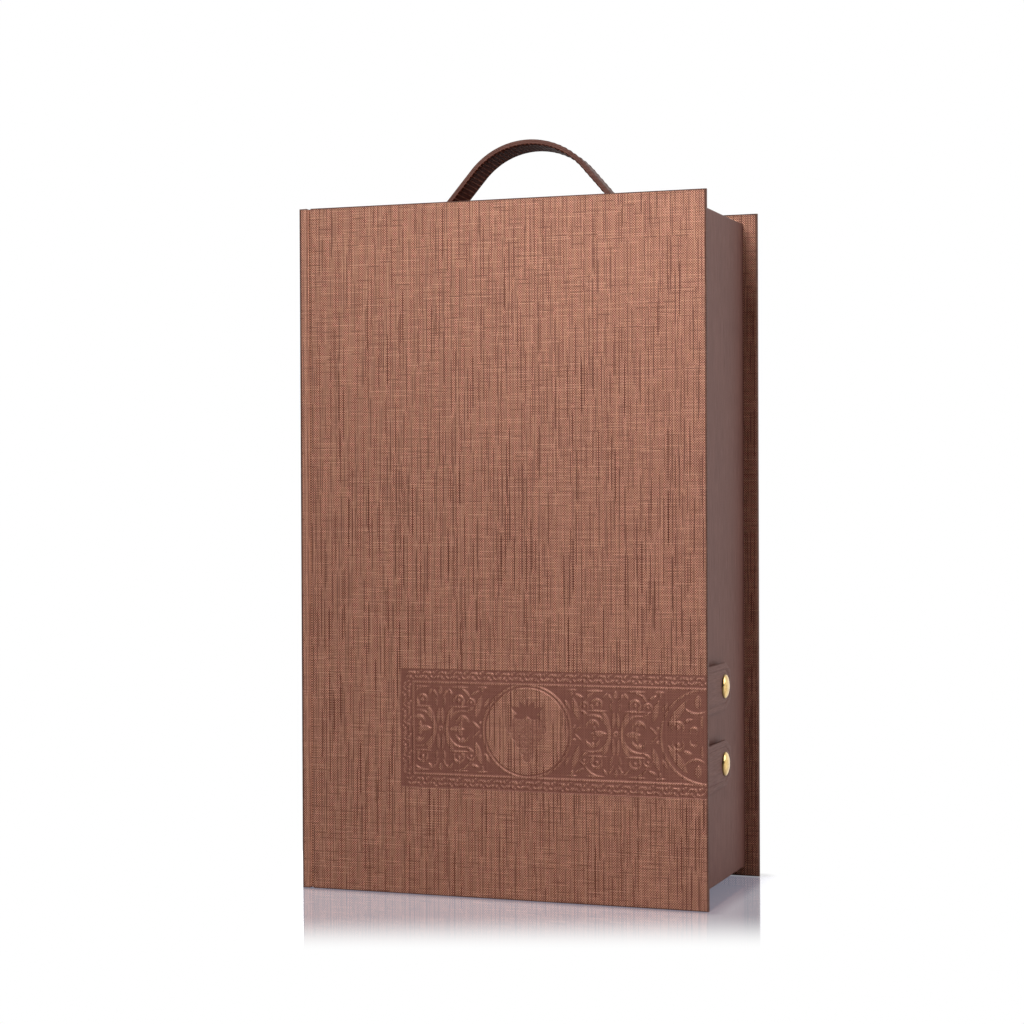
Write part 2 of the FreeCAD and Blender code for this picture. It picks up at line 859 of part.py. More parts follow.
def make_tab_root(height):
    """Leatherette of a tab where it is glued into the front board, bent to leave it squarely."""
    z0, z1 = tab_span(height)
    back = front_board_inner - tab_leather
    flange = box(tab_outer - tab_root_length, tab_outer, back, front_board_inner, z0, z1)
    stub = box(tab_outer - tab_leather, tab_outer, back, cover_inner, z0, z1)
    root = flange.fuse(stub).removeSplitter()
    corner = Vector(tab_outer, back, height)
    return rounded(root, tab_leather / 2, lambda c: (c - corner).Length < tab_leather / 4)


def tab_layer(x0, x1, height):
    """One layer of a tab: a strip with its tip's corners cut off and the snap's hole."""
    z0, z1 = tab_span(height)
    points = [
        (tab_start, z0),
        (tab_tip - tab_tip_length, z0),
        (tab_tip, z0 + tab_tip_height),
        (tab_tip, z1 - tab_tip_height),
        (tab_tip - tab_tip_length, z1),
        (tab_start, z1),
    ]
    corners = [Vector(x0, y, z) for y, z in points]
    face = Part.Face(Part.makePolygon(corners + corners[:1]))
    hole = rod(cap_post / 2 + snap_hole_gap, Vector(x0, snap_depth, height), Vector(x1, snap_depth, height))
    return face.extrude(Vector(x1 - x0, 0, 0)).cut(hole)


def make_tab_strap(height):
    """Outer leatherette of a tab."""
    return tab_layer(tab_inner + tab_lining, tab_outer, height)


def make_tab_lining(height):
    """Inner layer of a tab."""
    return tab_layer(tab_inner, tab_inner + tab_lining, height)


def make_snap_cap(height):
    """Domed brass cap on a tab, with the post that is clinched in the socket."""
    radius, post = cap_diameter / 2, cap_post / 2
    inner, clinch = radius - cap_sheet, post + cap_clinch
    crown = cap_height - cap_rim
    ball = (radius ** 2 + crown ** 2) / (2 * crown)
    half_way = cap_height - ball + math.sqrt(ball ** 2 - (radius / 2) ** 2)
    profile = outline(
        (0, cap_height),
        ((radius / 2, half_way), (radius, cap_rim)),
        (radius, 0),
        (inner, 0),
        (inner, cap_rim - cap_sheet),
        (post, cap_height - 2 * cap_sheet),
        (post, -cap_grip),
        (clinch, -cap_grip),
        (clinch, -cap_grip - cap_clinch_thickness),
        (0, -cap_grip - cap_clinch_thickness),
    )
    return turned(profile, Vector(tab_outer, snap_depth, height), Vector(1, 0, 0))


def make_snap_socket(height):
    """Brass socket on a tab's inner face, bored for the stud."""
    radius, hole = socket_diameter / 2, cap_post / 2 + snap_hole_gap
    bore = stud_bulb / 2 + snap_gap
    shoulder = radius - socket_round
    corner = socket_round * (1 - math.sqrt(0.5))
    profile = outline(
        (hole, 0),
        (radius, 0),
        (radius, socket_height - socket_round),
        ((radius - corner, socket_height - corner), (shoulder, socket_height)),
        (bore, socket_height),
        (bore, socket_web),
        (hole, socket_web),
    )
    return turned(profile, Vector(tab_inner, snap_depth, height), Vector(-1, 0, 0))


def make_snap_stud(height):
    """Brass stud on the tray's side, waisted above its flange."""
    flange, neck, bulb = stud_flange / 2, stud_neck / 2, stud_bulb / 2
    ceiling = stud_height - stud_sheet
    profile = outline(
        (stud_bore, 0),
        (flange, 0),
        (flange, stud_flange_thickness),
        (neck, stud_flange_thickness),
        ((bulb, (stud_flange_thickness + stud_height) / 2), (neck, stud_height)),
        (0, stud_height),
        (0, ceiling),
        (stud_bore, ceiling),
    )
    return turned(profile, Vector(tray_right, snap_depth, height), Vector(1, 0, 0))


def make_stud_post(height):
    """Post pushed from inside the right wall into the stud."""
    post, flange = stud_post / 2, stud_post_flange / 2
    length = tray_board + leatherette + stud_height - stud_sheet
    profile = outline(
        (0, 0),
        (flange, 0),
        (flange, stud_post_flange_thickness),
        (post, stud_post_flange_thickness),
        (post, length),
        (0, length),
    )
    return turned(profile, Vector(inner_right, snap_depth, height), Vector(1, 0, 0))


def make_pieces():
    """Every piece of the box under its name."""
    pieces = {
        "rear_cover_board": make_rear_cover_board(),
        "rear_cover_wrap": make_rear_cover_wrap(),
        "rear_cover_liner": make_rear_cover_liner(),
        "spine_board": make_spine_board(),
        "spine_wrap": make_spine_wrap(),
        "gutter_hinge": make_gutter_hinge(),
        "tray_back": make_tray_back(),
        "tray_top_wall": make_tray_top_wall(),
        "tray_bottom_wall": make_tray_bottom_wall(),
        "tray_left_wall": make_tray_left_wall(),
        "tray_right_wall": make_tray_right_wall(),
        "tray_wrap": make_tray_wrap(),
        "wall_lining": make_wall_lining(),
        "bottle_insert": make_bottle_insert(),
        "handle_strap": make_handle_strap(),
        "handle_lining": make_handle_lining(),
        "handle_rivets": make_handle_rivets(),
        "handle_washers": make_handle_washers(),
        "front_cover_board": make_front_cover_board(),
        "front_cover_wrap": make_front_cover_wrap(),
        "front_cover_liner": make_front_cover_liner(),
    }
    for place, height in tab_heights.items():
        pieces[f"{place}_tab_root"] = make_tab_root(height)
        pieces[f"{place}_tab_strap"] = make_tab_strap(height)
        pieces[f"{place}_tab_lining"] = make_tab_lining(height)
        pieces[f"{place}_snap_cap"] = make_snap_cap(height)
        pieces[f"{place}_snap_socket"] = make_snap_socket(height)
        pieces[f"{place}_snap_stud"] = make_snap_stud(height)
        pieces[f"{place}_stud_post"] = make_stud_post(height)
    return pieces


os.makedirs("parts", exist_ok=True)
for name, piece in make_pieces().items():
    print(f"{name}: {len(piece.Solids)} solid, valid {piece.isValid()}, {piece.Volume:.1f} mm3")
    piece.exportStep(f"parts/{name}.step")
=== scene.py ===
"""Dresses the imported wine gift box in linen, leatherette, brass and flock, in a pale studio."""

import json
import logging
import math
from collections.abc import Sequence
from dataclasses import dataclass, field
from enum import Enum

import bmesh
import bpy
import numpy as np
from mathutils import Matrix, Vector

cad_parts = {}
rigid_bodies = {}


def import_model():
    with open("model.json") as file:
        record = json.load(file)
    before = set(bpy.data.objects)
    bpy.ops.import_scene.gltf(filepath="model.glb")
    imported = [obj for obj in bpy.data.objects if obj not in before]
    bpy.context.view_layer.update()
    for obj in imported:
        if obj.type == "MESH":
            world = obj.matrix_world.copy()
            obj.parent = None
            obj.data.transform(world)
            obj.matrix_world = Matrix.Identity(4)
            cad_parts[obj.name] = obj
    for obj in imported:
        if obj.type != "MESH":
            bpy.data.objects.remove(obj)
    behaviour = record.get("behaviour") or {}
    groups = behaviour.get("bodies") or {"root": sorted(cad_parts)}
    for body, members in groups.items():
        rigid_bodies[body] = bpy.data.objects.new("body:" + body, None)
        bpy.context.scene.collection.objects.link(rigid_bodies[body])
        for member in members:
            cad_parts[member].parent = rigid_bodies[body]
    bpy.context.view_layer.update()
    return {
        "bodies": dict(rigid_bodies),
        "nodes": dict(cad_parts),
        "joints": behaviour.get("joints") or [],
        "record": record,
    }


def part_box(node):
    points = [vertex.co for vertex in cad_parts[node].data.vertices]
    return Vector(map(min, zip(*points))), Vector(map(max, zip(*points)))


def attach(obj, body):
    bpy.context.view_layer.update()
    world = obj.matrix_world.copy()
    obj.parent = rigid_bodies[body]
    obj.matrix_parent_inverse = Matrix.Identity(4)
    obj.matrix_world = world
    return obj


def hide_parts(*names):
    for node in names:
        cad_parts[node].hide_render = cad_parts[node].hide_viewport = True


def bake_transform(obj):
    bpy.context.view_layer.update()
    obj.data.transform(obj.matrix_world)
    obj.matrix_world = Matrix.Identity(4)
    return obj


LOG = logging.getLogger("wine_gift_box")
MM = 0.001
MM_IN_METRE = 1000.0
MERGE_DISTANCE = 1e-6
SHARP_ANGLE = math.radians(58)
Colour = tuple[float, float, float, float]
Point = tuple[float, float, float]


def shade(red: int, green: int, blue: int) -> Colour:
    """Turns a display colour into the linear colour that shaders take.

    Args:
        red: red from 0 to 255.
        green: green from 0 to 255.
        blue: blue from 0 to 255.

    Returns:
        The linear colour with full alpha.
    """
    def linear(level: int) -> float:
        """One channel, made linear."""
        part = level / 255
        return part / 12.92 if part <= 0.04045 else ((part + 0.055) / 1.055) ** 2.4

    return (linear(red), linear(green), linear(blue), 1.0)


class Grain(Enum):
    """Which way a leatherette's fine grain runs."""

    UPRIGHT = "upright"
    LEVEL = "level"


class Value:
    """A socket of a shader tree that Python's operators extend with Math nodes."""

    def __init__(self, tree: "ShaderTree", socket: bpy.types.NodeSocket) -> None:
        """Keeps the tree and the socket."""
        self.tree = tree
        self.socket = socket

    def math(self, operation: str, *others: "Value | float") -> "Value":
        """Adds one Math node that starts from this value."""
        return self.tree.math(operation, self, *others)

    def __add__(self, other: "Value | float") -> "Value":
        """Sum."""
        return self.math("ADD", other)

    def __sub__(self, other: "Value | float") -> "Value":
        """Difference."""
        return self.math("SUBTRACT", other)

    def __rsub__(self, other: float) -> "Value":
        """Difference from a number."""
        return self.tree.math("SUBTRACT", other, self)

    def __mul__(self, other: "Value | float") -> "Value":
        """Product."""
        return self.math("MULTIPLY", other)

    def __truediv__(self, other: "Value | float") -> "Value":
        """Quotient."""
        return self.math("DIVIDE", other)

    def ridge(self) -> "Value":
        """Rounded ridges from 0 to 1, one to each half turn of this angle."""
        return self.math("SINE").math("ABSOLUTE")

    __radd__ = __add__
    __rmul__ = __mul__


class ShaderTree:
    """Nodes of a material or a world, added by kind and handed back as values."""

    def __init__(self, owner: bpy.types.Material | bpy.types.World) -> None:
        """Empties the owner's node tree.

        Args:
            owner: the material or the world.
        """
        self.owner = owner
        owner.use_nodes = True
        self.nodes = owner.node_tree.nodes
        self.links = owner.node_tree.links
        self.nodes.clear()

    @classmethod
    def of_material(cls, name: str) -> "ShaderTree":
        """The tree of a new material."""
        return cls(bpy.data.materials.new(name))

    def node(self, kind: str, settings: dict | None = None, inputs: dict | None = None,
             output: int | str = 0) -> Value:
        """Adds a node of any kind.

        Args:
            kind: the node's type name.
            settings: properties that are set first.
            inputs: values or links by socket name or number.
            output: name or number of the socket to hand back.

        Returns:
            That output.
        """
        made = self.nodes.new(kind)
        for name, setting in (settings or {}).items():
            setattr(made, name, setting)
        for key, value in (inputs or {}).items():
            if isinstance(value, Value):
                self.links.new(value.socket, made.inputs[key])
            else:
                made.inputs[key].default_value = value
        return Value(self, made.outputs[output])

    def math(self, operation: str, *values: Value | float) -> Value:
        """One Math node on values or numbers."""
        return self.node("ShaderNodeMath", {"operation": operation}, dict(enumerate(values)))

    def axis(self, vector: Value, name: str) -> Value:
        """One coordinate of a vector."""
        return self.node("ShaderNodeSeparateXYZ", {}, {0: vector}, name)

    def place(self) -> tuple[Value, Value, Value]:
        """The point on the object, as three values in millimetres."""
        point = self.node("ShaderNodeTexCoord", output="Object")
        return tuple(self.axis(point, name) * MM_IN_METRE for name in "XYZ")

    def mask(self, name: str) -> Value:
        """The value that a piece's mesh holds at each point under a name."""
        return self.node("ShaderNodeAttribute", {"attribute_name": name}, output="Fac")

    def rays(self) -> tuple[Value, Value, Value]:
        """Whether a ray comes from the camera, from a mirror or through a surface."""
        kinds = ("Camera", "Glossy", "Transmission")
        return tuple(self.node("ShaderNodeLightPath", output=f"Is {kind} Ray") for kind in kinds)

    def noise(self, x: Value | float, y: Value | float, z: Value | float, detail: float = 1.0) -> Value:
        """Noise of unit scale and about 0.5 at three coordinates, with some octaves of detail."""
        point = self.node("ShaderNodeCombineXYZ", {}, {0: x, 1: y, 2: z})
        return self.node("ShaderNodeTexNoise", {}, {"Vector": point, "Scale": 1.0, "Detail": detail})

    def chance(self, x: Value | float, y: Value | float) -> Value:
        """A number from 0 to 1 that is even and unrelated from one pair of whole numbers to the next."""
        point = self.node("ShaderNodeCombineXYZ", {}, {0: x, 1: y})
        return self.node("ShaderNodeTexWhiteNoise", {"noise_dimensions": "2D"}, {"Vector": point})

    def rise(self, value: Value, low: float, high: float) -> Value:
        """A smooth step of the value from 0 at low to 1 at high."""
        limits = {"Value": value, "From Min": low, "From Max": high}
        return self.node("ShaderNodeMapRange", {"interpolation_type": "SMOOTHSTEP"}, limits)

    def near(self, value: Value, edge: float, begin: float, full: float) -> Value:
        """A smooth step from 0 at one inset from an edge to 1 at another."""
        return self.rise(value, edge - begin, edge - full)

    def mix(self, factor: Value | float, first: Value | Colour, second: Value | Colour) -> Value:
        """A colour between two."""
        return self.node("ShaderNodeMix", {"data_type": "RGBA"}, {0: factor, 6: first, 7: second}, 2)

    def bump(self, height: Value, depth_mm: float) -> Value:
        """A normal bent by a height from 0 to 1 that stands for a depth."""
        return self.node("ShaderNodeBump", {}, {"Height": height, "Distance": depth_mm * MM})

    def finish(self, inputs: dict) -> bpy.types.Material:
        """Closes the tree with a principled shader and hands back its material."""
        self.close(self.node("ShaderNodeBsdfPrincipled", {}, inputs))
        return self.owner

    def close(self, surface: Value, kind: str = "ShaderNodeOutputMaterial") -> None:
        """Links a surface to the tree's output."""
        self.links.new(surface.socket, self.nodes.new(kind).inputs["Surface"])


@dataclass(frozen=True)
class Slubs:
    """Threads that stand out for a stretch of their length, each by chance.

    Attributes:
        run: length of a stretch in millimetres.
        least: chance below which a stretch stays plain.
        pitch: about how far one such line is from the next.
        weight: strength at its fullest.
        width: half the width of a line.
        core: share of that width which is full.
        sway: share of the pitch over which a line's place varies.
        shift: most that a line's stretches are moved along, in stretches.
        taper: where a stretch begins to thin, as a share of its length from its middle.
    """

    run: float
    least: float
    pitch: float
    weight: float = 1.0
    width: float = 0.34
    core: float = 0.45
    sway: float = 0.4
    shift: float = 7.0
    taper: float = 0.35

    def strength(self, tree: ShaderTree, across: Value, along: Value) -> Value:
        """How much each point stands out.

        Args:
            tree: the shader's tree.
            across: place across the threads, in millimetres.
            along: place along them.

        Returns:
            A value from 0 to the weight.
        """
        place = across / self.pitch + self.run
        number = place.math("FLOOR")
        stretch = along / self.run + tree.chance(number, self.pitch) * self.shift
        part = stretch.math("FLOOR")
        middle = tree.chance(number, part + 0.5) * self.sway
        offset = (place - number - (1 - self.sway) / 2 - middle).math("ABSOLUTE") * self.pitch
        line = 1 - tree.rise(offset, self.width * self.core, self.width)
        thick = 1 - tree.rise((stretch - part - 0.5).math("ABSOLUTE"), self.taper, 0.5)
        return tree.rise(tree.chance(number, part), self.least, 1.0) * line * thick * self.weight


@dataclass(frozen=True)
class BronzeLinen:
    """Book linen with a bronze print: plain weave, thin slubs, flattened where pressed, painted shade along
    edges, a painted highlight by the spine.

    Towards the box's top and foot the weft's dark slubs gain strength and the warp's lose some. Tones run
    from the shadow between threads, through the print's own colours, to the glint on raised threads.
    Insets are distances from the box's edges, in millimetres.
    """

    thread: float = 0.61
    long_warp: Slubs = Slubs(31.0, -0.1, 2.2)
    short_warp: Slubs = Slubs(19.0, 0.0, 1.5, 0.75)
    light_warp: Slubs = Slubs(21.0, 0.2, 1.9, 0.8)
    dark_weft: Slubs = Slubs(8.0, 0.5, 2.3)
    light_weft: Slubs = Slubs(13.0, 0.2, 1.4)
    top_zone: tuple[float, float] = (170.0, 330.0)
    foot_zone: tuple[float, float] = (20.0, 80.0)
    weft_share: float = 0.42
    weft_gain: float = 0.12
    warp_loss: float = 0.15
    dots: float = 0.25
    even_start: float = 4000.0
    shadow_tone: float = 0.2
    mean_tone: float = 0.54
    glint_tone: float = 0.95
    over_tone: float = 0.66
    weave_mean: float = 0.6
    weave_tone: float = 0.5
    light_tone: float = 0.4
    face_insets: tuple[float, float] = (2.2, 0.7)
    edge_shade_insets: tuple[float, float] = (1.0, 0.2)
    spine_shade_insets: tuple[float, float] = (1.7, 1.0)
    shine_begin: tuple[float, float] = (5.5, 3.5)
    shine_end: tuple[float, float] = (3.0, 1.7)
    shine_share: float = 0.25
    edge_shade_share: float = 0.75
    relief: float = 0.05
    half_width: float = 108.0
    half_depth: float = 54.2
    height: float = 350.0
    gap: Colour = shade(78, 20, 8)
    shadow: Colour = shade(98, 44, 29)
    ochre: Colour = shade(146, 87, 56)
    rose: Colour = shade(149, 84, 68)
    glint: Colour = shade(221, 164, 136)
    pressed: Colour = shade(113, 64, 50)
    pressed_light: Colour = shade(147, 94, 78)
    edge_shade: Colour = shade(76, 43, 34)

    def material(self) -> bpy.types.Material:
        """Builds the linen's shader.

        Returns:
            The material.
        """
        tree = ShaderTree.of_material("bronze_linen")
        x, y, z = tree.place()
        across = x + y
        warp_place, weft_place = across / self.thread, z / self.thread
        warp, weft = warp_place.math("FLOOR"), weft_place.math("FLOOR")
        crown, pick = (warp_place * math.pi).ridge(), (weft_place * math.pi).ridge()
        over = tree.math("MODULO", warp + weft + self.even_start, 2.0)
        weave = crown * over + pick * (1 - over)
        ends = tree.rise(z, *self.top_zone) + (1 - tree.rise(z, *self.foot_zone))
        long, short, light_end = (kind.strength(tree, across, z)
                                  for kind in (self.long_warp, self.short_warp, self.light_warp))
        dark_pick, light_pick = (kind.strength(tree, z, across)
                                 for kind in (self.dark_weft, self.light_weft))
        dotted = tree.math("MODULO", weft + self.even_start, 2.0) * self.dots + (1 - self.dots)
        upright = long.math("MAXIMUM", short) * dotted * (1 - ends * self.warp_loss)
        dark = upright.math("MAXIMUM", dark_pick * (self.weft_share + ends * self.weft_gain))
        light = light_end.math("MAXIMUM", light_pick)
        tone = (self.mean_tone + (over - 0.5) * self.over_tone
                + (weave - self.weave_mean) * self.weave_tone + light * self.light_tone)
        press = tree.mask("press")
        tint = tree.rise(tree.noise(across * 0.3, z * 0.12, 55.0, 2.0), 0.36, 0.64)
        body = tree.mix(tint, self.ochre, self.rose)
        high = tree.mix(tree.rise(tone, self.mean_tone, self.glint_tone), body, self.glint)
        woven = tree.mix(tree.rise(tone, self.shadow_tone, self.mean_tone), self.shadow, high)
        smooth = tree.mix(tree.rise(tone - dark * 0.3, 0.1, 1.0), self.pressed, self.pressed_light)
        face = tree.near(y.math("ABSOLUTE"), self.half_depth, *self.face_insets)
        left, half_height = 0.0 - x, self.height / 2
        # Painted shade: a dark line along the spine's rounded edge, on the front and back faces.
        bend = tree.near(left, self.half_width, *self.spine_shade_insets) * face
        # Painted highlight: a lighter strip just inside the spine's rounded edge, on the front and back
        # faces.
        shine = (tree.near(left, self.half_width, *self.shine_begin)
                 * (1 - tree.near(left, self.half_width, *self.shine_end)) * face)
        # Painted shade where the cloth turns round the right edge, the top and the foot; it joins the
        # spine's dark line in one edge mask.
        turned = tree.near(x, self.half_width, *self.edge_shade_insets).math("MAXIMUM", bend)
        rim = tree.near((z - half_height).math("ABSOLUTE"), half_height, *self.edge_shade_insets)
        edge = turned.math("MAXIMUM", rim)
        cloth = tree.mix(press, tree.mix(dark, woven, self.gap), smooth)
        # Mixes the painted highlight towards the glint colour.
        cloth = tree.mix(shine * self.shine_share, cloth, self.glint)
        # Base colour: the cloth, darkened towards the painted edge shade by the edge mask.
        return tree.finish({
            "Base Color": tree.mix(edge * self.edge_shade_share, cloth, self.edge_shade),
            "Metallic": 0.4,
            "Roughness": 0.5 - press * 0.06 - tone * 0.06 + edge * 0.1,
            "Normal": tree.bump((weave * 0.7 + tone * 0.5 - dark * 0.5) * (1 - press * 0.8), self.relief),
        })


@dataclass(frozen=True)
class Leatherette:
    """Matt coated paper with a fine grain of short parallel grooves."""

    name: str
    grain: Grain
    low: Colour = shade(108, 67, 58)
    high: Colour = shade(132, 89, 78)
    relief: float = 0.05

    def material(self) -> bpy.types.Material:
        """Builds the leatherette's shader.

        Returns:
            The material.
        """
        tree = ShaderTree.of_material(self.name)
        x, y, z = tree.place()
        across, along = (x + y, z) if self.grain is Grain.UPRIGHT else (z, x + y)
        groove = tree.noise(across * 1.9, along * 0.11, 2.0, 2.0)
        thread = tree.noise(across * 0.9, along * 0.02, 7.0)
        pebble = tree.noise(x * 2.6, y * 2.6, z * 2.6, 2.0)
        cloud = tree.noise(x * 0.02, y * 0.02, z * 0.02, 2.0)
        tone = groove * 0.5 + thread * 0.35 + pebble * 0.25 + cloud * 0.2 - 0.15
        return tree.finish({
            "Base Color": tree.mix(tree.rise(tone, 0.25, 0.75), self.low, self.high),
            "Roughness": 0.66 - groove * 0.14,
            "Specular IOR Level": 0.3,
            "Normal": tree.bump(groove * 0.6 + pebble * 0.4, self.relief),
        })


@dataclass(frozen=True)
class StrapLining:
    """Dark ribbed lining on the back of straps, ribbed across their length."""

    rib: float = 2.4
    rib_sharpness: float = 9.0
    low: Colour = shade(80, 34, 22)
    high: Colour = shade(158, 100, 80)
    relief: float = 0.12

    def material(self) -> bpy.types.Material:
        """Builds the lining's shader on the strap's own UV map, in metres along and across.

        Returns:
            The material.
        """
        tree = ShaderTree.of_material("strap_lining")
        chart = tree.node("ShaderNodeUVMap", {"uv_map": "strap"})
        along, across = (tree.axis(chart, name) * MM_IN_METRE for name in "XY")
        ribs = (along * (math.pi / self.rib)).ridge().math("POWER", self.rib_sharpness)
        slub = tree.noise((along / self.rib).math("FLOOR") * 1.7, across * 0.12, 4.0)
        fleck = tree.noise(along * 1.1, across * 1.6, 8.0, 2.0)
        tone = ribs * (slub * 0.9) + fleck * 0.4
        return tree.finish({
            "Base Color": tree.mix(tree.rise(tone, 0.2, 0.8), self.low, self.high),
            "Roughness": 0.75 - slub * 0.1,
            "Specular IOR Level": 0.05,
            "Normal": tree.bump(ribs * 0.7 + fleck * 0.3, self.relief),
        })


@dataclass(frozen=True)
class Flock:
    """Short velvet fibres on foam or paper, brushed in patches."""

    name: str
    low: Colour = shade(78, 54, 43)
    high: Colour = shade(112, 82, 67)
    relief: float = 0.14

    def material(self) -> bpy.types.Material:
        """Builds the flock's shader.

        Returns:
            The material.
        """
        tree = ShaderTree.of_material(self.name)
        x, y, z = tree.place()
        fibre = tree.noise(x * 2.4, y * 2.4, z * 2.4, 2.0)
        brushed = tree.noise(x * 0.045, y * 0.045, z * 0.03, 2.0)
        tone = fibre * 0.7 + brushed * 0.35
        return tree.finish({
            "Base Color": tree.mix(tree.rise(tone, 0.25, 0.8), self.low, self.high),
            "Roughness": 0.95 - fibre * 0.1,
            "Sheen Weight": 0.12,
            "Sheen Roughness": 0.5,
            "Sheen Tint": self.high,
            "Specular IOR Level": 0.2,
            "Normal": tree.bump(fibre, self.relief),
        })


@dataclass(frozen=True)
class LaidPaper:
    """Uncoated paper with faint laid lines and fibres."""

    name: str
    low: Colour
    high: Colour
    line_pitch: float = 0.9
    relief: float = 0.03

    def material(self) -> bpy.types.Material:
        """Builds the paper's shader.

        Returns:
            The material.
        """
        tree = ShaderTree.of_material(self.name)
        x, y, z = tree.place()
        fibre = tree.noise(x * 0.9, y * 0.9, z * 0.35, 3.0)
        lines = (z * (math.pi / self.line_pitch)).ridge()
        cloud = tree.noise(x * 0.03, y * 0.03, z * 0.03, 2.0)
        tone = fibre * 0.55 + lines * 0.12 + cloud * 0.4
        return tree.finish({
            "Base Color": tree.mix(tree.rise(tone, 0.3, 0.75), self.low, self.high),
            "Roughness": 0.82 - fibre * 0.12,
            "Normal": tree.bump(fibre * 0.7 + lines * 0.3, self.relief),
        })


@dataclass(frozen=True)
class TurnedMetal:
    """Metal fittings with faint polishing marks and a breath of tarnish."""

    name: str
    clean: Colour
    tarnish: Colour
    roughness: float
    rim_shade: Colour = shade(66, 42, 24)
    relief: float = 0.004

    def material(self) -> bpy.types.Material:
        """Builds the metal's shader.

        Returns:
            The material.
        """
        tree = ShaderTree.of_material(self.name)
        x, y, z = tree.place()
        marks = tree.noise(x * 1.2, y * 6.0, z * 6.0, 2.0)
        cloud = tree.noise(x * 0.35, y * 0.35, z * 0.35, 2.0)
        dull = tree.rise(cloud * 0.7 + marks * 0.3, 0.42, 0.8)
        # The rim mask darkens the snap caps' rolled edges with a painted shade and dark reflection.
        rim = tree.mask("rim")
        return tree.finish({
            "Base Color": tree.mix(rim * 0.85, tree.mix(dull, self.clean, self.tarnish), self.rim_shade),
            "Metallic": 1.0,
            "Roughness": self.roughness + dull * 0.1 + marks * 0.04 + rim * 0.15,
            "Normal": tree.bump(marks, self.relief),
        })


@dataclass(frozen=True)
class SewingThread:
    """Twisted thread of the strap's seams."""

    low: Colour = shade(70, 44, 35)
    high: Colour = shade(124, 90, 76)
    relief: float = 0.05

    def material(self) -> bpy.types.Material:
        """Builds the thread's shader.

        Returns:
            The material.
        """
        tree = ShaderTree.of_material("seam_thread")
        x, y, z = tree.place()
        twist = ((x + z) * 7.0 + y * 9.0).ridge()
        fuzz = tree.noise(x * 3.0, y * 3.0, z * 3.0)
        return tree.finish({
            "Base Color": tree.mix(twist * 0.6 + fuzz * 0.4, self.low, self.high),
            "Roughness": 0.7 - twist * 0.12,
            "Normal": tree.bump(twist, self.relief),
        })


class Palette:
    """Every finish of the box, built once."""

    def __init__(self) -> None:
        """Builds the materials."""
        self.linen = BronzeLinen().material()
        self.leatherette = Leatherette("leatherette", Grain.UPRIGHT).material()
        self.tab_leatherette = Leatherette("tab_leatherette", Grain.LEVEL).material()
        self.strap_leatherette = Leatherette("strap_leatherette", Grain.LEVEL, shade(104, 64, 54),
                                             shade(138, 96, 84)).material()
        self.strap_lining = StrapLining().material()
        self.flocked_lining = Flock("flocked_lining").material()
        self.flocked_foam = Flock("flocked_foam").material()
        self.liner_paper = LaidPaper("liner_paper", shade(74, 50, 41), shade(96, 68, 57)).material()
        self.greyboard = LaidPaper("greyboard", shade(120, 114, 106), shade(160, 154, 145)).material()
        self.brass = TurnedMetal("snap_brass", shade(238, 204, 136), shade(186, 140, 74), 0.06).material()
        self.steel = TurnedMetal("rivet_steel", shade(190, 190, 192), shade(140, 138, 136), 0.3).material()
        self.thread = SewingThread().material()


def place_piece(name: str, mesh: bpy.types.Mesh) -> bpy.types.Object:
    """Puts a mesh into the scene as a piece.

    Args:
        name: the piece's name.
        mesh: its mesh, already in place.

    Returns:
        The new object.
    """
    piece = bpy.data.objects.new(name, mesh)
    bpy.context.scene.collection.objects.link(piece)
    LOG.info("%s: %d faces", name, len(mesh.polygons))
    return piece


def mesh_of(name: str, points: Sequence[Point] | np.ndarray, faces: Sequence[Sequence[int]],
            *materials: bpy.types.Material) -> bpy.types.Mesh:
    """Makes a smooth mesh whose clear edges stay sharp.

    Args:
        name: the mesh's name.
        points: its vertices in metres.
        faces: vertex numbers of each face.
        materials: its material slots.

    Returns:
        The mesh.
    """
    mesh = bpy.data.meshes.new(name)
    places = [tuple(map(float, point)) for point in points]
    mesh.from_pydata(places, [], [tuple(map(int, face)) for face in faces])
    mesh.validate()
    for material in materials:
        mesh.materials.append(material)
    mesh.shade_smooth()
    mesh.set_sharp_from_angle(angle=SHARP_ANGLE)
    return mesh


def strip_faces(rows: int, columns: int, closed: bool = False) -> list[tuple[int, int, int, int]]:
    """Quads between rows of points.

    Args:
        rows: number of rows.
        columns: points in each row.
        closed: whether each row's end joins its beginning.

    Returns:
        Vertex numbers of the quads.
    """
    span = columns if closed else columns - 1
    quads = []
    for row in range(rows - 1):
        here, there = row * columns, (row + 1) * columns
        for column in range(span):
            onward = (column + 1) % columns
            quads.append((here + column, here + onward, there + onward, there + column))
    return quads


def tube_faces(rows: int, ring: int) -> list[tuple[int, ...]]:
    """Quads and both ends of a closed tube, by its rows of points and the points in each ring."""
    last = (rows - 1) * ring
    return strip_faces(rows, ring, closed=True) + [tuple(range(ring)), tuple(range(last, last + ring))]


def set_outwards(piece: bpy.types.Object, close: bool = False) -> None:
    """Turns a closed piece's faces outwards.

    Args:
        piece: the piece.
        close: whether open ends are filled first.
    """
    body = bmesh.new()
    body.from_mesh(piece.data)
    if close:
        open_edges = [edge for edge in body.edges if edge.is_boundary]
        bmesh.ops.holes_fill(body, edges=open_edges, sides=0)
    bmesh.ops.recalc_face_normals(body, faces=body.faces)
    body.to_mesh(piece.data)
    body.free()


def paint(mesh: bpy.types.Mesh, name: str, values: np.ndarray) -> None:
    """Gives each point of a mesh a value that its finish reads by name."""
    layer = mesh.attributes.new(name, "FLOAT", "POINT")
    layer.data.foreach_set("value", values.astype(np.float32))


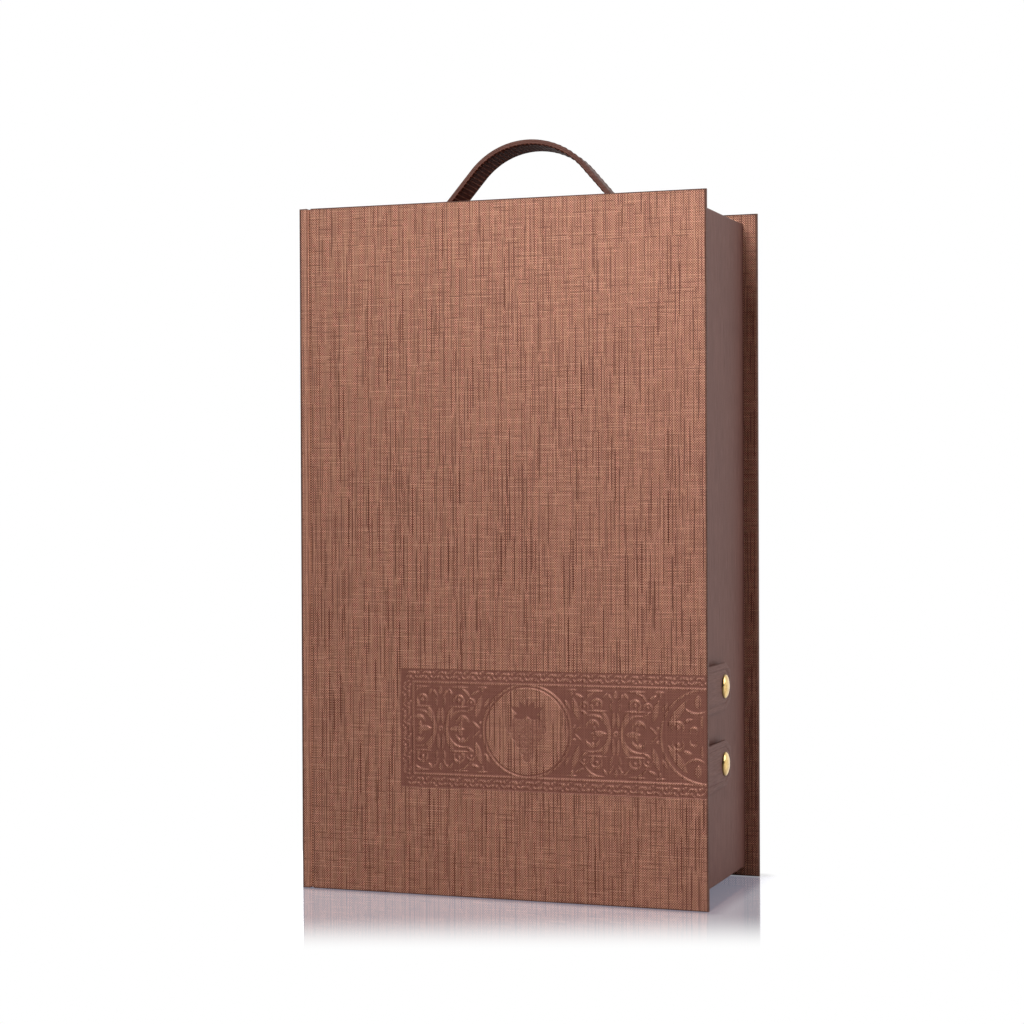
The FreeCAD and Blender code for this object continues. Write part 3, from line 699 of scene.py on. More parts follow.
def evaluated_mesh(piece: bpy.types.Object) -> bpy.types.Mesh:
    """Turns a piece with modifiers into a plain mesh and takes the modifiers off.

    Args:
        piece: the piece.

    Returns:
        Its final mesh.
    """
    graph = bpy.context.evaluated_depsgraph_get()
    mesh = bpy.data.meshes.new_from_object(piece.evaluated_get(graph), depsgraph=graph)
    piece.modifiers.clear()
    return mesh


@dataclass
class SubAssembly:
    """Pieces that are made and dressed together.

    Attributes:
        frame: the loaded frame.
        palette: the finishes.
    """

    frame: dict
    palette: Palette

    def dress(self, material: bpy.types.Material, *nodes: str) -> None:
        """Gives CAD nodes a finish.

        Args:
            material: the finish.
            nodes: names of the nodes.
        """
        for name in nodes:
            for slot in self.frame["nodes"][name].material_slots:
                slot.material = material

    def merged_copy(self, node: str) -> bmesh.types.BMesh:
        """Copies a CAD node's mesh and joins its loose triangles.

        Args:
            node: the node's name.

        Returns:
            The copy, which the caller frees.
        """
        body = bmesh.new()
        body.from_mesh(self.frame["nodes"][node].data)
        bmesh.ops.remove_doubles(body, verts=body.verts, dist=MERGE_DISTANCE)
        return body


class Relief:
    """Distances from the forms that a press leaves standing; inside a form they are below zero."""

    def __init__(self, across: np.ndarray, up: np.ndarray) -> None:
        """Starts with nothing standing.

        Args:
            across: x of each point in millimetres.
            up: z of each point in millimetres.
        """
        self.across = across
        self.up = up
        self.distance = np.full(across.shape, np.inf)

    def join(self, distance: np.ndarray) -> None:
        """Adds a form by its distances."""
        np.minimum(self.distance, distance, out=self.distance)

    def trim(self, distance: np.ndarray) -> None:
        """Keeps only what lies inside another form."""
        np.maximum(self.distance, distance, out=self.distance)

    def reach(self, x: float, z: float) -> np.ndarray:
        """How far each point lies from one point."""
        return np.hypot(self.across - x, self.up - z)

    def disc(self, x: float, z: float, radius: float) -> None:
        """Adds a disc."""
        self.join(self.reach(x, z) - radius)

    def ring(self, x: float, z: float, inner: float, outer: float) -> None:
        """Adds a ring."""
        self.join(np.abs(self.reach(x, z) - (inner + outer) / 2) - (outer - inner) / 2)

    def crescent(self, x: float, z: float, radius: float, weight: float, facing: float,
                 sweep: float) -> None:
        """Adds a scroll that swells from a point to its weight and back.

        Args:
            x: middle of its outer arc.
            z: height of that middle.
            radius: radius of the outer arc.
            weight: width at its middle.
            facing: where its middle lies, in degrees.
            sweep: its angle in degrees.
        """
        half, turn = math.radians(sweep / 2), math.radians(facing)
        inner = radius - weight
        shift = (inner ** 2 - radius ** 2) / (2 * (inner - radius * math.cos(half)))
        other = self.reach(x + shift * math.cos(turn), z + shift * math.sin(turn)) - abs(inner - shift)
        self.join(np.maximum(self.reach(x, z) - radius, -other if shift < inner else other))

    def leaf(self, x: float, z: float, length: float, width: float, heading: float) -> None:
        """Adds a pointed leaf that grows from a point.

        Args:
            x: its foot.
            z: height of its foot.
            length: length along its heading.
            width: width at its middle.
            heading: the way it grows, in degrees.
        """
        turn = math.radians(heading)
        radius = (length ** 2 / 4 + width ** 2 / 4) / width
        away = radius - width / 2
        middle_x, middle_z = x + length / 2 * math.cos(turn), z + length / 2 * math.sin(turn)
        sides = [self.reach(middle_x - side * away * math.sin(turn),
                            middle_z + side * away * math.cos(turn)) for side in (1, -1)]
        self.join(np.maximum(*sides) - radius)


@dataclass
class PressedBand:
    """The front cover's ornament band: its sizes in millimetres and the depth that the press leaves."""

    left: float = -52.7
    foot: float = 54.3
    height: float = 60.5
    depth: float = 0.3
    scuff: float = 0.3
    softness: float = 0.24
    step: float = 0.35
    border: float = 7.4
    line: float = 0.8
    gap: float = 0.9
    medallion: float = 15.2
    repeat: float = 92.4
    disc: float = 21.7
    ring: tuple[float, float] = (22.6, 23.6)
    edge: float = 108.0
    edge_round: float = 1.0
    front: float = -54.2
    vine_wave: float = 8.4
    vine_swing: float = 1.5
    vine_weight: float = 0.65
    grape: float = 2.0
    grape_pitch: float = 2.06
    grape_rows: float = 1.76
    grape_dome: float = 0.62
    bunch: tuple[int, ...] = (4, 5, 4, 3, 2, 1)
    bunch_top: float = 4.4

    @property
    def top(self) -> float:
        """Height of the band's upper edge."""
        return self.foot + self.height

    @property
    def middle(self) -> float:
        """Height of the band's middle."""
        return self.foot + self.height / 2

    def inside(self, form: Relief, inset: float) -> np.ndarray:
        """Distances from a field set in from the band's left, top and bottom."""
        level = np.abs(form.up - self.middle) - self.height / 2
        return np.maximum(self.left - form.across, level) + inset

    def damask_quarter(self, form: Relief, x: float, across: int, up: int) -> None:
        """Adds one quarter of the damask.

        Args:
            form: the relief to add to.
            x: place of the damask's knot.
            across: 1 or -1 for its right or left side.
            up: 1 or -1 for its upper or lower side.
        """
        def heading(degrees: float) -> float:
            """A heading of the first quarter, mirrored into this one."""
            turn = degrees if across > 0 else 180 - degrees
            return turn if up > 0 else -turn

        def leaf(u: float, v: float, length: float, width: float, degrees: float) -> None:
            """A leaf of the first quarter, mirrored into this one."""
            form.leaf(x + across * u, self.middle + up * v, length, width, heading(degrees))

        def curl(u: float, v: float, radius: float, weight: float, facing: float, sweep: float) -> None:
            """A scroll of the first quarter, mirrored into this one."""
            form.crescent(x + across * u, self.middle + up * v, radius, weight, heading(facing), sweep)

        def bead(u: float, v: float, radius: float) -> None:
            """A bead of the first quarter, mirrored into this one."""
            form.disc(x + across * u, self.middle + up * v, radius)

        leaf(1.5, 2.4, 8.2, 1.8, 94)
        leaf(3.3, 2.6, 9.4, 2.6, 68)
        leaf(17.4, 4.0, 5.2, 0.9, -43)
        curl(11.9, 3.4, 3.5, 1.7, 90, 200)
        leaf(10.7, 0.4, 3.4, 1.5, 82)
        curl(9.8, 14.4, 3.0, 1.4, 110, 230)
        leaf(12.9, 14.9, 3.9, 1.5, -110)
        leaf(5.0, 11.2, 9.6, 0.9, 0)
        curl(9.8, 14.4, 6.4, 0.9, 52, 90)
        leaf(6.2, 21.0, 9.0, 1.0, 0)
        leaf(1.3, 15.2, 4.8, 0.9, 66)
        leaf(19.0, 6.4, 11.4, 3.0, 74)
        leaf(22.6, 18.3, 3.0, 1.3, 90)
        leaf(20.0, 21.2, 5.2, 0.9, 0)
        leaf(14.4, 9.2, 4.0, 1.3, 30)
        leaf(1.9, 11.0, 4.4, 1.2, 82)
        leaf(23.6, 11.6, 5.4, 1.5, 58)
        leaf(16.6, 17.4, 4.6, 1.4, 24)
        leaf(6.6, 17.4, 3.6, 1.1, 130)
        curl(16.4, 13.4, 2.3, 1.0, 80, 250)
        bead(9.8, 14.4, 0.9)
        bead(16.4, 13.4, 0.6)
        bead(11.9, 5.0, 0.6)
        bead(3.4, 18.8, 0.6)
        bead(21.4, 3.4, 0.7)

    def damask(self, form: Relief, x: float) -> None:
        """Adds the damask round a knot.

        Args:
            form: the relief to add to.
            x: place of the knot.
        """
        form.ring(x, self.middle, 0.55, 1.3)
        for up, upward in ((1, 90), (-1, 270)):
            form.leaf(x, self.middle + up * 17.4, 3.8, 1.7, upward)
            self.damask_quarter(form, x, 1, up)
            self.damask_quarter(form, x, -1, up)
        for across, outward in ((1, 0), (-1, 180)):
            form.crescent(x + across * 11.4, self.middle, 9.4, 2.0, outward + 180, 236)
            form.leaf(x + across * 4.8, self.middle, 8.0, 2.6, outward)

    def wreath(self, form: Relief, x: float) -> None:
        """Adds the scrolls in the medallion that the cover's edge cuts.

        Args:
            form: the relief to add to.
            x: the medallion's middle.
        """
        for up in (1, -1):
            form.crescent(x, self.middle, 20.3, 3.6, up * 143, 48)
            form.crescent(x - 14.6, self.middle + up * 4.3, 3.2, 1.6, up * 90, 270)
            form.disc(x - 14.6, self.middle + up * 4.3, 1.1)
            form.leaf(x - 11.8, self.middle + up * 7.2, 4.6, 1.4, up * 15)
            form.crescent(x - 5.6, self.middle + up * 17.0, 6.4, 1.2, up * -100, 110)
            form.leaf(x - 4.4, self.middle + up * 13.6, 6.6, 3.2, up * 90)
            form.leaf(x - 2.4, self.middle + up * 4.2, 6.2, 1.4, up * 90)
            form.crescent(x - 6.6, self.middle + up * 2.9, 2.1, 1.2, up * 90, 270)

    def vine(self, form: Relief, along: np.ndarray, across: np.ndarray, begin: float, end: float) -> None:
        """Adds a waving vine with beads along a border's middle line.

        Args:
            form: the relief to add to.
            along: distance along the border at each point.
            across: distance from its middle line at each point.
            begin: where the vine begins along the border.
            end: where it ends.
        """
        turn = 2 * math.pi / self.vine_wave
        swing = np.sin(turn * (along - begin))
        slope = self.vine_swing * turn * np.cos(turn * (along - begin))
        stem = np.abs(across - self.vine_swing * swing) / np.hypot(1, slope) - self.vine_weight / 2
        lane = Relief(along, across)
        lane.join(np.maximum(stem, (0.4 - np.abs(swing)) / turn))
        for bend in range(int((end - begin) / self.vine_wave * 2)):
            crest = begin + (bend + 0.5) * self.vine_wave / 2
            side = 1 if bend % 2 == 0 else -1
            lane.disc(crest, -side * 1.1, 0.7)
            lane.disc(crest + 1.3, -side * 2.0, 0.45)
            lane.leaf(crest + 1.5, side * 1.9, 1.9, 0.8, -side * 60)
            lane.leaf(crest - 1.2, -side * 0.4, 1.8, 0.75, -side * 130)
        lane.trim(np.maximum(begin - along, along - end))
        form.join(lane.distance)

    def standing(self, across: np.ndarray, up: np.ndarray) -> Relief:
        """Everything that the press leaves standing.

        Args:
            across: x of each point in millimetres.
            up: z of each point in millimetres.

        Returns:
            The relief at those points.
        """
        second = self.medallion + self.repeat
        inner = Relief(across, up)
        self.damask(inner, self.medallion - self.repeat / 2)
        self.damask(inner, self.medallion + self.repeat / 2)
        inner.trim(self.inside(inner, self.border + self.gap))
        form = Relief(across, up)
        form.join(inner.distance)
        form.disc(self.medallion, self.middle, self.disc)
        self.wreath(form, second)
        for x in (self.medallion, second):
            form.ring(x, self.middle, *self.ring)
        rail = self.inside(form, self.border - self.line / 2)
        form.join(np.abs(rail) - self.line / 2)
        lane = (self.border - self.line) / 2
        for height, flip in ((self.top - lane, 1), (self.foot + lane, -1)):
            self.vine(form, across, (up - height) * flip, self.left + lane, self.edge)
        self.vine(form, up, self.left + lane - across, self.foot + 2 * lane, self.top - 2 * lane)
        form.join(-self.inside(form, 0.0) - self.softness)
        return form

    def grapes(self, across: np.ndarray, up: np.ndarray) -> np.ndarray:
        """How deep a bunch of grapes is pressed into the whole medallion.

        Args:
            across: x of each point in millimetres.
            up: z of each point in millimetres.

        Returns:
            Depth as a share of the press's depth.
        """
        depth = np.zeros(across.shape)
        for row, count in enumerate(self.bunch):
            for place in range(count):
                x = self.medallion + (place - (count - 1) / 2) * self.grape * self.grape_pitch
                z = self.middle + self.bunch_top - row * self.grape * self.grape_rows
                share = np.hypot(across - x, up - z) / self.grape
                dome = np.sqrt(np.clip(1 - share ** 2, 0, 1))
                depth = np.maximum(depth, np.where(share < 1.0, 1 - self.grape_dome * dome, 0))
        leaves = Relief(across, up)
        for heading, length in ((28, 9.5), (62, 8.0), (-4, 7.0), (152, 9.5), (118, 8.0), (184, 7.0)):
            leaves.leaf(self.medallion, self.middle + 7.6, length, 3.4, heading)
        leaves.leaf(self.medallion - 0.2, self.middle + 7.0, 9.6, 1.2, 90)
        veined = np.clip(0.5 - leaves.distance / (2 * self.softness), 0, 1)
        return np.maximum(depth, veined)

    def surface(self) -> tuple[np.ndarray, np.ndarray, int, int]:
        """The band's pressed surface.

        Returns:
            Its points in metres, how flat the cloth is at each point, and its rows and columns.
        """
        sunk = 1 - self.depth / self.edge_round
        end = self.edge - self.edge_round + self.edge_round * math.sqrt(1 - sunk ** 2)
        columns = round((end - self.left) / self.step)
        rows = round(self.height / self.step)
        places, heights = np.linspace(self.left, end, columns), np.linspace(self.foot, self.top, rows)
        across, up = np.meshgrid(places, heights)
        form = self.standing(across, up)
        share = np.clip(0.5 + form.distance / (2 * self.softness), 0, 1)
        share = share * share * (3 - 2 * share)
        press = np.maximum(share, self.grapes(across, up))
        beyond = np.clip(across - self.edge + self.edge_round, 0, None)
        turned = self.edge_round - np.sqrt(self.edge_round ** 2 - beyond ** 2)
        place = self.front + np.maximum(press * self.depth, turned)
        points = np.stack([across.ravel(), place.ravel(), up.ravel()], axis=1) * MM
        whole = np.hypot(across - self.medallion, up - self.middle) < self.disc
        flattened = np.maximum(press, np.where(whole, 0, self.scuff))
        return points, flattened.ravel(), rows, columns


@dataclass
class FrontCover(SubAssembly):
    """Front cover's linen with its pressed band."""

    band: PressedBand = field(default_factory=PressedBand)
    tolerance: float = 0.01

    def build(self) -> None:
        """Replaces the cover's linen by one sheet that carries the fine relief."""
        body = self.merged_copy("front_cover_wrap")
        pressed = [face for face in body.faces if all(self._in_band(vert.co / MM) for vert in face.verts)]
        bmesh.ops.delete(body, geom=pressed, context="FACES")
        body.verts.index_update()
        points = [tuple(vert.co) for vert in body.verts]
        faces = [[vert.index for vert in face.verts] for face in body.faces]
        body.free()
        sheet, press, rows, columns = self.band.surface()
        start = len(points)
        faces += [[start + number for number in quad] for quad in strip_faces(rows, columns)]
        places = np.vstack([np.array(points), sheet])
        mesh = mesh_of("front_cover_linen", places, faces, self.palette.linen)
        paint(mesh, "press", np.concatenate([np.zeros(start), press]))
        piece = place_piece("front_cover_linen", mesh)
        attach(piece, "front_cover")
        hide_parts("front_cover_wrap")
        self.dress(self.palette.liner_paper, "front_cover_liner")
        self.dress(self.palette.greyboard, "front_cover_board")

    def _in_band(self, point: Vector) -> bool:
        """Tells whether a point belongs to the band's pressed layer.

        Args:
            point: the point in millimetres.

        Returns:
            True where it does.
        """
        band, near = self.band, self.tolerance
        level = band.foot - near <= point.z <= band.top + near
        return level and point.x >= band.left - near and point.y <= band.front + band.depth + near


@dataclass
class LinenCase(SubAssembly):
    """Rear cover, spine and the cloth gutter that the front cover swings on."""

    groove: float = 0.9
    sheet: float = 0.45
    lip: float = 0.06
    arcs: int = 14
    rows: int = 60

    def build(self) -> None:
        """Dresses the covers and makes the gutter."""
        self.dress(self.palette.linen, "rear_cover_wrap", "spine_wrap")
        self.dress(self.palette.greyboard, "rear_cover_board", "spine_board")
        self.dress(self.palette.liner_paper, "rear_cover_liner")
        self._gutter()

    def _gutter(self) -> None:
        """Makes the gutter as a groove of cloth in the hinge's place."""
        low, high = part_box("gutter_hinge")
        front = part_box("spine_wrap")[0].y
        points = []
        for height in np.linspace(low.z, high.z, self.rows):
            outer, inner = [], []
            for step in range(self.arcs + 1):
                share = step / self.arcs
                x = low.x + (high.x - low.x) * share
                sunk = (self.lip + self.groove * math.sin(math.pi * share) ** 2) * MM
                outer.append((x, front + sunk, height))
                inner.append((x, front + sunk + self.sheet * MM, height))
            points += outer + inner[::-1]
        faces = tube_faces(self.rows, 2 * (self.arcs + 1))
        piece = place_piece("gutter_cloth", mesh_of("gutter_cloth", points, faces, self.palette.linen))
        set_outwards(piece)
        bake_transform(piece)
        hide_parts("gutter_hinge")


@dataclass
class Tray(SubAssembly):
    """The tray's leatherette, lining, boards and foam insert."""

    voxel: float = 2.0
    softness: float = 0.5
    smoothing: int = 5

    def build(self) -> None:
        """Dresses the tray and softens the foam."""
        self.dress(self.palette.leatherette, "tray_wrap")
        self.dress(self.palette.flocked_lining, "wall_lining")
        self.dress(self.palette.greyboard, "tray_back", "tray_top_wall", "tray_bottom_wall",
                   "tray_left_wall", "tray_right_wall")
        self._foam()

    def _foam(self) -> None:
        """Makes the insert as soft foam with its edges worn round."""
        body = self.merged_copy("bottle_insert")
        rough = bpy.data.meshes.new("foam_insert")
        body.to_mesh(rough)
        body.free()
        piece = place_piece("foam_insert", rough)
        remesh = piece.modifiers.new("voxels", "REMESH")
        remesh.mode, remesh.voxel_size = "VOXEL", self.voxel * MM
        smooth = piece.modifiers.new("soften", "SMOOTH")
        smooth.factor, smooth.iterations = self.softness, self.smoothing
        mesh = evaluated_mesh(piece)
        mesh.materials.clear()
        mesh.materials.append(self.palette.flocked_foam)
        mesh.shade_smooth()
        piece.data = mesh
        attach(piece, "case")
        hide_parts("bottle_insert")


@dataclass
class Seam:
    """Geometry nodes that sew stitches along lines."""

    pitch: float = 3.3
    length: float = 2.5
    thread: float = 0.62

    def sew(self, name: str, lines: list[list[Point]], material: bpy.types.Material) -> bpy.types.Object:
        """Lays stitches along lines.

        Args:
            name: the piece's name.
            lines: points of each line, in metres.
            material: the thread's finish.

        Returns:
            The stitches as one plain piece.
        """
        points, edges = [], []
        for line in lines:
            edges += [(len(points) + step, len(points) + step + 1) for step in range(len(line) - 1)]
            points += line
        mesh = bpy.data.meshes.new(name)
        mesh.from_pydata(points, edges, [])
        piece = place_piece(name, mesh)
        group = self._tree(material)
        modifier = piece.modifiers.new("stitches", "NODES")
        modifier.node_group = group
        sizes = {"Pitch": self.pitch, "Length": self.length, "Thread": self.thread}
        for socket in group.interface.items_tree:
            if socket.name in sizes:
                modifier[socket.identifier] = sizes[socket.name] * MM
        piece.data = evaluated_mesh(piece)
        LOG.info("%s: %d faces sewn", name, len(piece.data.polygons))
        return piece

    def _tree(self, material: bpy.types.Material) -> bpy.types.NodeTree:
        """Builds the stitches' tree.

        Args:
            material: the thread's finish.

        Returns:
            The tree, with its sizes as inputs.
        """
        group = bpy.data.node_groups.new("stitches", "GeometryNodeTree")
        face = group.interface
        face.new_socket("Geometry", in_out="INPUT", socket_type="NodeSocketGeometry")
        for name in ("Pitch", "Length", "Thread"):
            face.new_socket(name, in_out="INPUT", socket_type="NodeSocketFloat")
        face.new_socket("Geometry", in_out="OUTPUT", socket_type="NodeSocketGeometry")

        def add(kind: str, settings: dict | None = None, **inputs: object) -> bpy.types.Node:
            """Adds a node.

            Args:
                kind: the node's type name.
                settings: properties that are set first.
                inputs: values or links by socket name, with underscores for spaces.

            Returns:
                The node.
            """
            node = group.nodes.new(kind)
            for key, setting in (settings or {}).items():
                setattr(node, key, setting)
            for key, value in inputs.items():
                socket = node.inputs[key.replace("_", " ")]
                if isinstance(value, bpy.types.NodeSocket):
                    group.links.new(value, socket)
                else:
                    socket.default_value = value
            return node

        given = add("NodeGroupInput")
        line = add("GeometryNodeMeshToCurve", Mesh=given.outputs["Geometry"])
        points = add("GeometryNodeCurveToPoints", {"mode": "LENGTH"}, Curve=line.outputs["Curve"],
                     Length=given.outputs["Pitch"])
        ball = add("GeometryNodeMeshUVSphere", Segments=8, Rings=6, Radius=0.5)
        scale = add("ShaderNodeCombineXYZ", X=given.outputs["Thread"], Y=given.outputs["Thread"],
                    Z=given.outputs["Length"])
        stitch = add("GeometryNodeTransform", Geometry=ball.outputs["Mesh"], Scale=scale.outputs[0])
        laid = add("GeometryNodeInstanceOnPoints", Points=points.outputs["Points"],
                   Instance=stitch.outputs["Geometry"], Rotation=points.outputs["Rotation"])
        real = add("GeometryNodeRealizeInstances", Geometry=laid.outputs["Instances"])
        smooth = add("GeometryNodeSetShadeSmooth", Geometry=real.outputs["Geometry"])
        finish = add("GeometryNodeSetMaterial", Geometry=smooth.outputs["Geometry"], Material=material)
        add("NodeGroupOutput", Geometry=finish.outputs["Geometry"])
        return group


@dataclass
class CarryStrap(SubAssembly):
    """The carrying strap: two layers sewn together, arched over the tray and riveted under its top."""

    offset: float = 1.0
    half_span: float = 54.4
    rise: float = 40.9
    leg_angle: float = 49.0
    foot_bend: float = 1.5
    tail: float = 24.0
    width: float = 26.0
    leather: float = 1.4
    lining: float = 1.2
    tray_top: float = 344.8
    wall_under: float = 341.7
    edge_round: float = 0.7
    joint_half: float = 0.16
    joint_depth: float = 0.14
    lining_turn: float = 0.7
    seam_inset: float = 2.7
    seam_depth: float = 0.05
    seam_clear: float = 1.0
    skew: float = 0.11
    skew_height: float = 10.0
    crown_steps: int = 26
    leg_steps: int = 22
    bend_steps: int = 8
    corner_steps: int = 5
    flat_steps: int = 9
    seam: Seam = field(default_factory=Seam)

    @property
    def thickness(self) -> float:
        """Both layers together."""
        return self.leather + self.lining

    def half_line(self) -> list[tuple[float, float, float]]:
        """The outer face's line from the crown to the right tail.

        Returns:
            Distance from the strap's middle, height and heading in radians below level, of each point.
        """
        lean = math.radians(self.leg_angle)
        crossing = self.half_span * math.tan(lean)
        crown = (crossing - self.rise) / (1 / math.cos(lean) - 1)
        middle = self.tray_top + self.rise - crown
        foot = self.half_span + (self.tray_top - self.wall_under) / math.tan(lean)
        line = []
        for turn in np.linspace(0, lean, self.crown_steps):
            line.append((crown * math.sin(turn), middle + crown * math.cos(turn), turn))
        bend = self.foot_bend * math.tan(lean / 2)
        leg_begin = line[-1]
        leg_end = (foot - bend * math.cos(lean), self.wall_under + bend * math.sin(lean))
        for share in np.linspace(0, 1, self.leg_steps)[1:]:
            x = leg_begin[0] + (leg_end[0] - leg_begin[0]) * share
            z = leg_begin[1] + (leg_end[1] - leg_begin[1]) * share
            line.append((x, z, lean))
        for turn in np.linspace(lean, 0, self.bend_steps)[1:]:
            x = foot + bend - self.foot_bend * math.sin(turn)
            z = self.wall_under + self.foot_bend * (1 - math.cos(turn))
            line.append((x, z, turn))
        for reach in np.linspace(foot + bend, foot + self.tail, self.bend_steps)[1:]:
            line.append((reach, self.wall_under, 0.0))
        return line

    def line(self) -> list[tuple[Vector, Vector]]:
        """The outer face's line from tail to tail.

        Returns:
            Points in millimetres and the way outwards at each.
        """
        right = [(Vector((self.offset + x, 0, z)), Vector((math.sin(turn), 0, math.cos(turn))))
                 for x, z, turn in self.half_line()]
        left = [(Vector((2 * self.offset - place.x, 0, place.z)), Vector((-out.x, 0, out.z)))
                for place, out in right[:0:-1]]
        return left + right

    def section(self) -> list[tuple[float, float]]:
        """The strap's rounded section.

        Returns:
            Distance across and depth below the outer face, all the way round.
        """
        half, thick, soft = self.width / 2, self.thickness, self.edge_round
        corner = [(math.sin(turn) * soft, (1 - math.cos(turn)) * soft)
                  for turn in np.linspace(0, math.pi / 2, self.corner_steps)]
        outer = [(y, 0.0) for y in np.linspace(-half + soft, half - soft, self.flat_steps)]
        right = [(half - soft + y, d) for y, d in corner[1:]]
        joint = [(half, self.leather - self.joint_half), (half - self.joint_depth, self.leather),
                 (half, self.leather + self.joint_half)]
        lower = [(half - soft + y, thick - d) for y, d in reversed(corner)]
        run = outer + right + joint + lower
        back = [(-y, d) for y, d in reversed(right + joint + lower[:-1])]
        under = [(y, thick) for y in np.linspace(half - soft, -half + soft, self.flat_steps)]
        return run[:-1] + under + back

    def skewed(self, point: Vector) -> Point:
        """Pulls a point of the strap a little askew, as the arch is in use.

        Args:
            point: the point in millimetres.

        Returns:
            Its place in metres.
        """
        share = min(max((point.z - self.tray_top) / self.skew_height, 0.0), 1.0)
        lean = self.skew * share * share * (3 - 2 * share)
        return ((point.x - lean * point.y) * MM, point.y * MM, point.z * MM)

    def build(self) -> None:
        """Makes the strap and its seams and dresses its rivets."""
        line, section = self.line(), self.section()
        points, lengths, run = [], [], 0.0
        for number, (place, out) in enumerate(line):
            run += (place - line[number - 1][0]).length if number else 0.0
            lengths.append(run)
            for across, depth in section:
                points.append(self.skewed(place - out * depth + Vector((0, across, 0))))
        ring = len(section)
        mesh = mesh_of("carry_strap", points, tube_faces(len(line), ring), self.palette.strap_leatherette,
                       self.palette.strap_lining)
        chart = mesh.uv_layers.new(name="strap")
        lined = self.thickness - self.edge_round * self.lining_turn
        for polygon in mesh.polygons:
            depths = [section[number % ring][1] for number in polygon.vertices]
            polygon.material_index = 1 if min(depths) > lined else 0
            for loop in polygon.loop_indices:
                number = mesh.loops[loop].vertex_index
                chart.data[loop].uv = (lengths[number // ring] * MM, section[number % ring][0] * MM)
        piece = place_piece("carry_strap", mesh)
        set_outwards(piece)
        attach(piece, "case")
        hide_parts("handle_strap", "handle_lining")
        self._seams(line)
        self.dress(self.palette.steel, "handle_rivets", "handle_washers")

    def _seams(self, line: list[tuple[Vector, Vector]]) -> None:
        """Sews both edges on the outer face and on the lining.

        Args:
            line: points of the outer face in millimetres and the way outwards at each.
        """
        shown = [(place, out) for place, out in line if place.z > self.tray_top + self.seam_clear]
        across = self.width / 2 - self.seam_inset
        rows = []
        for side in (-across, across):
            for depth in (self.seam_depth, self.thickness - self.seam_depth):
                rows.append([self.skewed(place - out * depth + Vector((0, side, 0)))
                             for place, out in shown])
        stitches = self.seam.sew("strap_stitches", rows, self.palette.thread)
        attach(stitches, "case")


@dataclass
class ClosingTab(SubAssembly):
    """One closing tab with its creased border, and the snap that holds it."""

    place: str
    tip_length: float = 10.0
    tip_height: float = 4.3
    crease: float = 3.4
    crease_width: float = 0.55
    crease_depth: float = 0.22
    edge_round: float = 0.35
    shoulder: float = 0.3
    pillow: float = 0.06
    pillow_inset: float = 2.5
    root: float = 0.25
    bend: float = 4.0
    parts: tuple[int, ...] = (26, 5, 8, 5, 26)

    def corners(self, begin: float, end: float, foot: float, top: float,
                inset: float) -> list[tuple[float, float]]:
        """The tab's outline set in from its long sides and tip.

        Args:
            begin: the root's y in millimetres.
            end: the tip's y.
            foot: lower side's z.
            top: upper side's z.
            inset: how far the outline is set in.

        Returns:
            Corners as y and z, from the root's foot round the tip to its top.
        """
        lean = math.atan2(self.tip_height, self.tip_length)
        side_shift = inset * math.tan(lean / 2)
        tip_shift = inset * math.tan((math.pi / 2 - lean) / 2)
        knee, tip = end - self.tip_length - side_shift, end - inset
        low, high = foot + inset, top - inset
        return [
            (begin, low), (knee, low), (tip, foot + self.tip_height + tip_shift),
            (tip, top - self.tip_height - tip_shift), (knee, high), (begin, high),
        ]

    def divided(self, corners: list[tuple[float, float]]) -> list[tuple[float, float]]:
        """Divides each run of an open outline into its parts.

        Args:
            corners: the outline's corners.

        Returns:
            All points along it.
        """
        run = []
        for (y, z), (end_y, end_z), count in zip(corners, corners[1:], self.parts):
            for share in np.linspace(0, 1, count, endpoint=False):
                run.append((y + (end_y - y) * share, z + (end_z - z) * share))
        return run + [corners[-1]]

    @staticmethod
    def sheet_faces(rows: int, columns: int) -> list[tuple[int, ...]]:
        """Faces of a sheet whose first and last outlines are filled.

        Args:
            rows: number of outlines.
            columns: points of each outline, which runs out and back.

        Returns:
            Vertex numbers of the faces.
        """
        faces = strip_faces(rows, columns)
        half = columns // 2
        for row in (0, rows - 1):
            start, last = row * columns, (row + 1) * columns - 1
            for step in range(half - 1):
                faces.append((start + step, start + step + 1, last - step - 1, last - step))
            if columns % 2:
                faces.append((start + half - 1, start + half, start + half + 1))
        return faces

    def build(self) -> None:
        """Makes the tab and dresses its snap."""
        low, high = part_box(f"{self.place}_tab_strap")
        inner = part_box(f"{self.place}_tab_lining")[0].x
        thick = (high.x - inner) / MM
        begin, end = low.y / MM - self.root, high.y / MM
        soft, crease, half = self.edge_round, self.crease, self.crease_width / 2
        shoulder = soft * self.shoulder
        levels = [
            (soft, -thick), (0.0, -thick + soft), (0.0, -soft), (shoulder, -shoulder), (soft, 0.0),
            (crease - half, 0.0), (crease, -self.crease_depth), (crease + half, 0.0),
            (crease + self.pillow_inset, self.pillow),
        ]
        points = []
        for inset, height in levels:
            corners = self.corners(begin, end, low.z / MM, high.z / MM, inset)
            for y, z in self.divided(corners):
                points.append(((high.x / MM + height) * MM, y * MM, z * MM))
        faces = self.sheet_faces(len(levels), len(points) // len(levels))
        name = f"{self.place}_tab_leather"
        piece = place_piece(name, mesh_of(name, points, faces, self.palette.tab_leatherette))
        set_outwards(piece, close=True)
        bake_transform(piece)
        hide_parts(f"{self.place}_tab_strap", f"{self.place}_tab_lining")
        self.dress(self.palette.tab_leatherette, f"{self.place}_tab_root")
        self.dress(self.palette.brass, f"{self.place}_snap_socket", f"{self.place}_snap_stud")
        self.dress(self.palette.steel, f"{self.place}_stud_post")


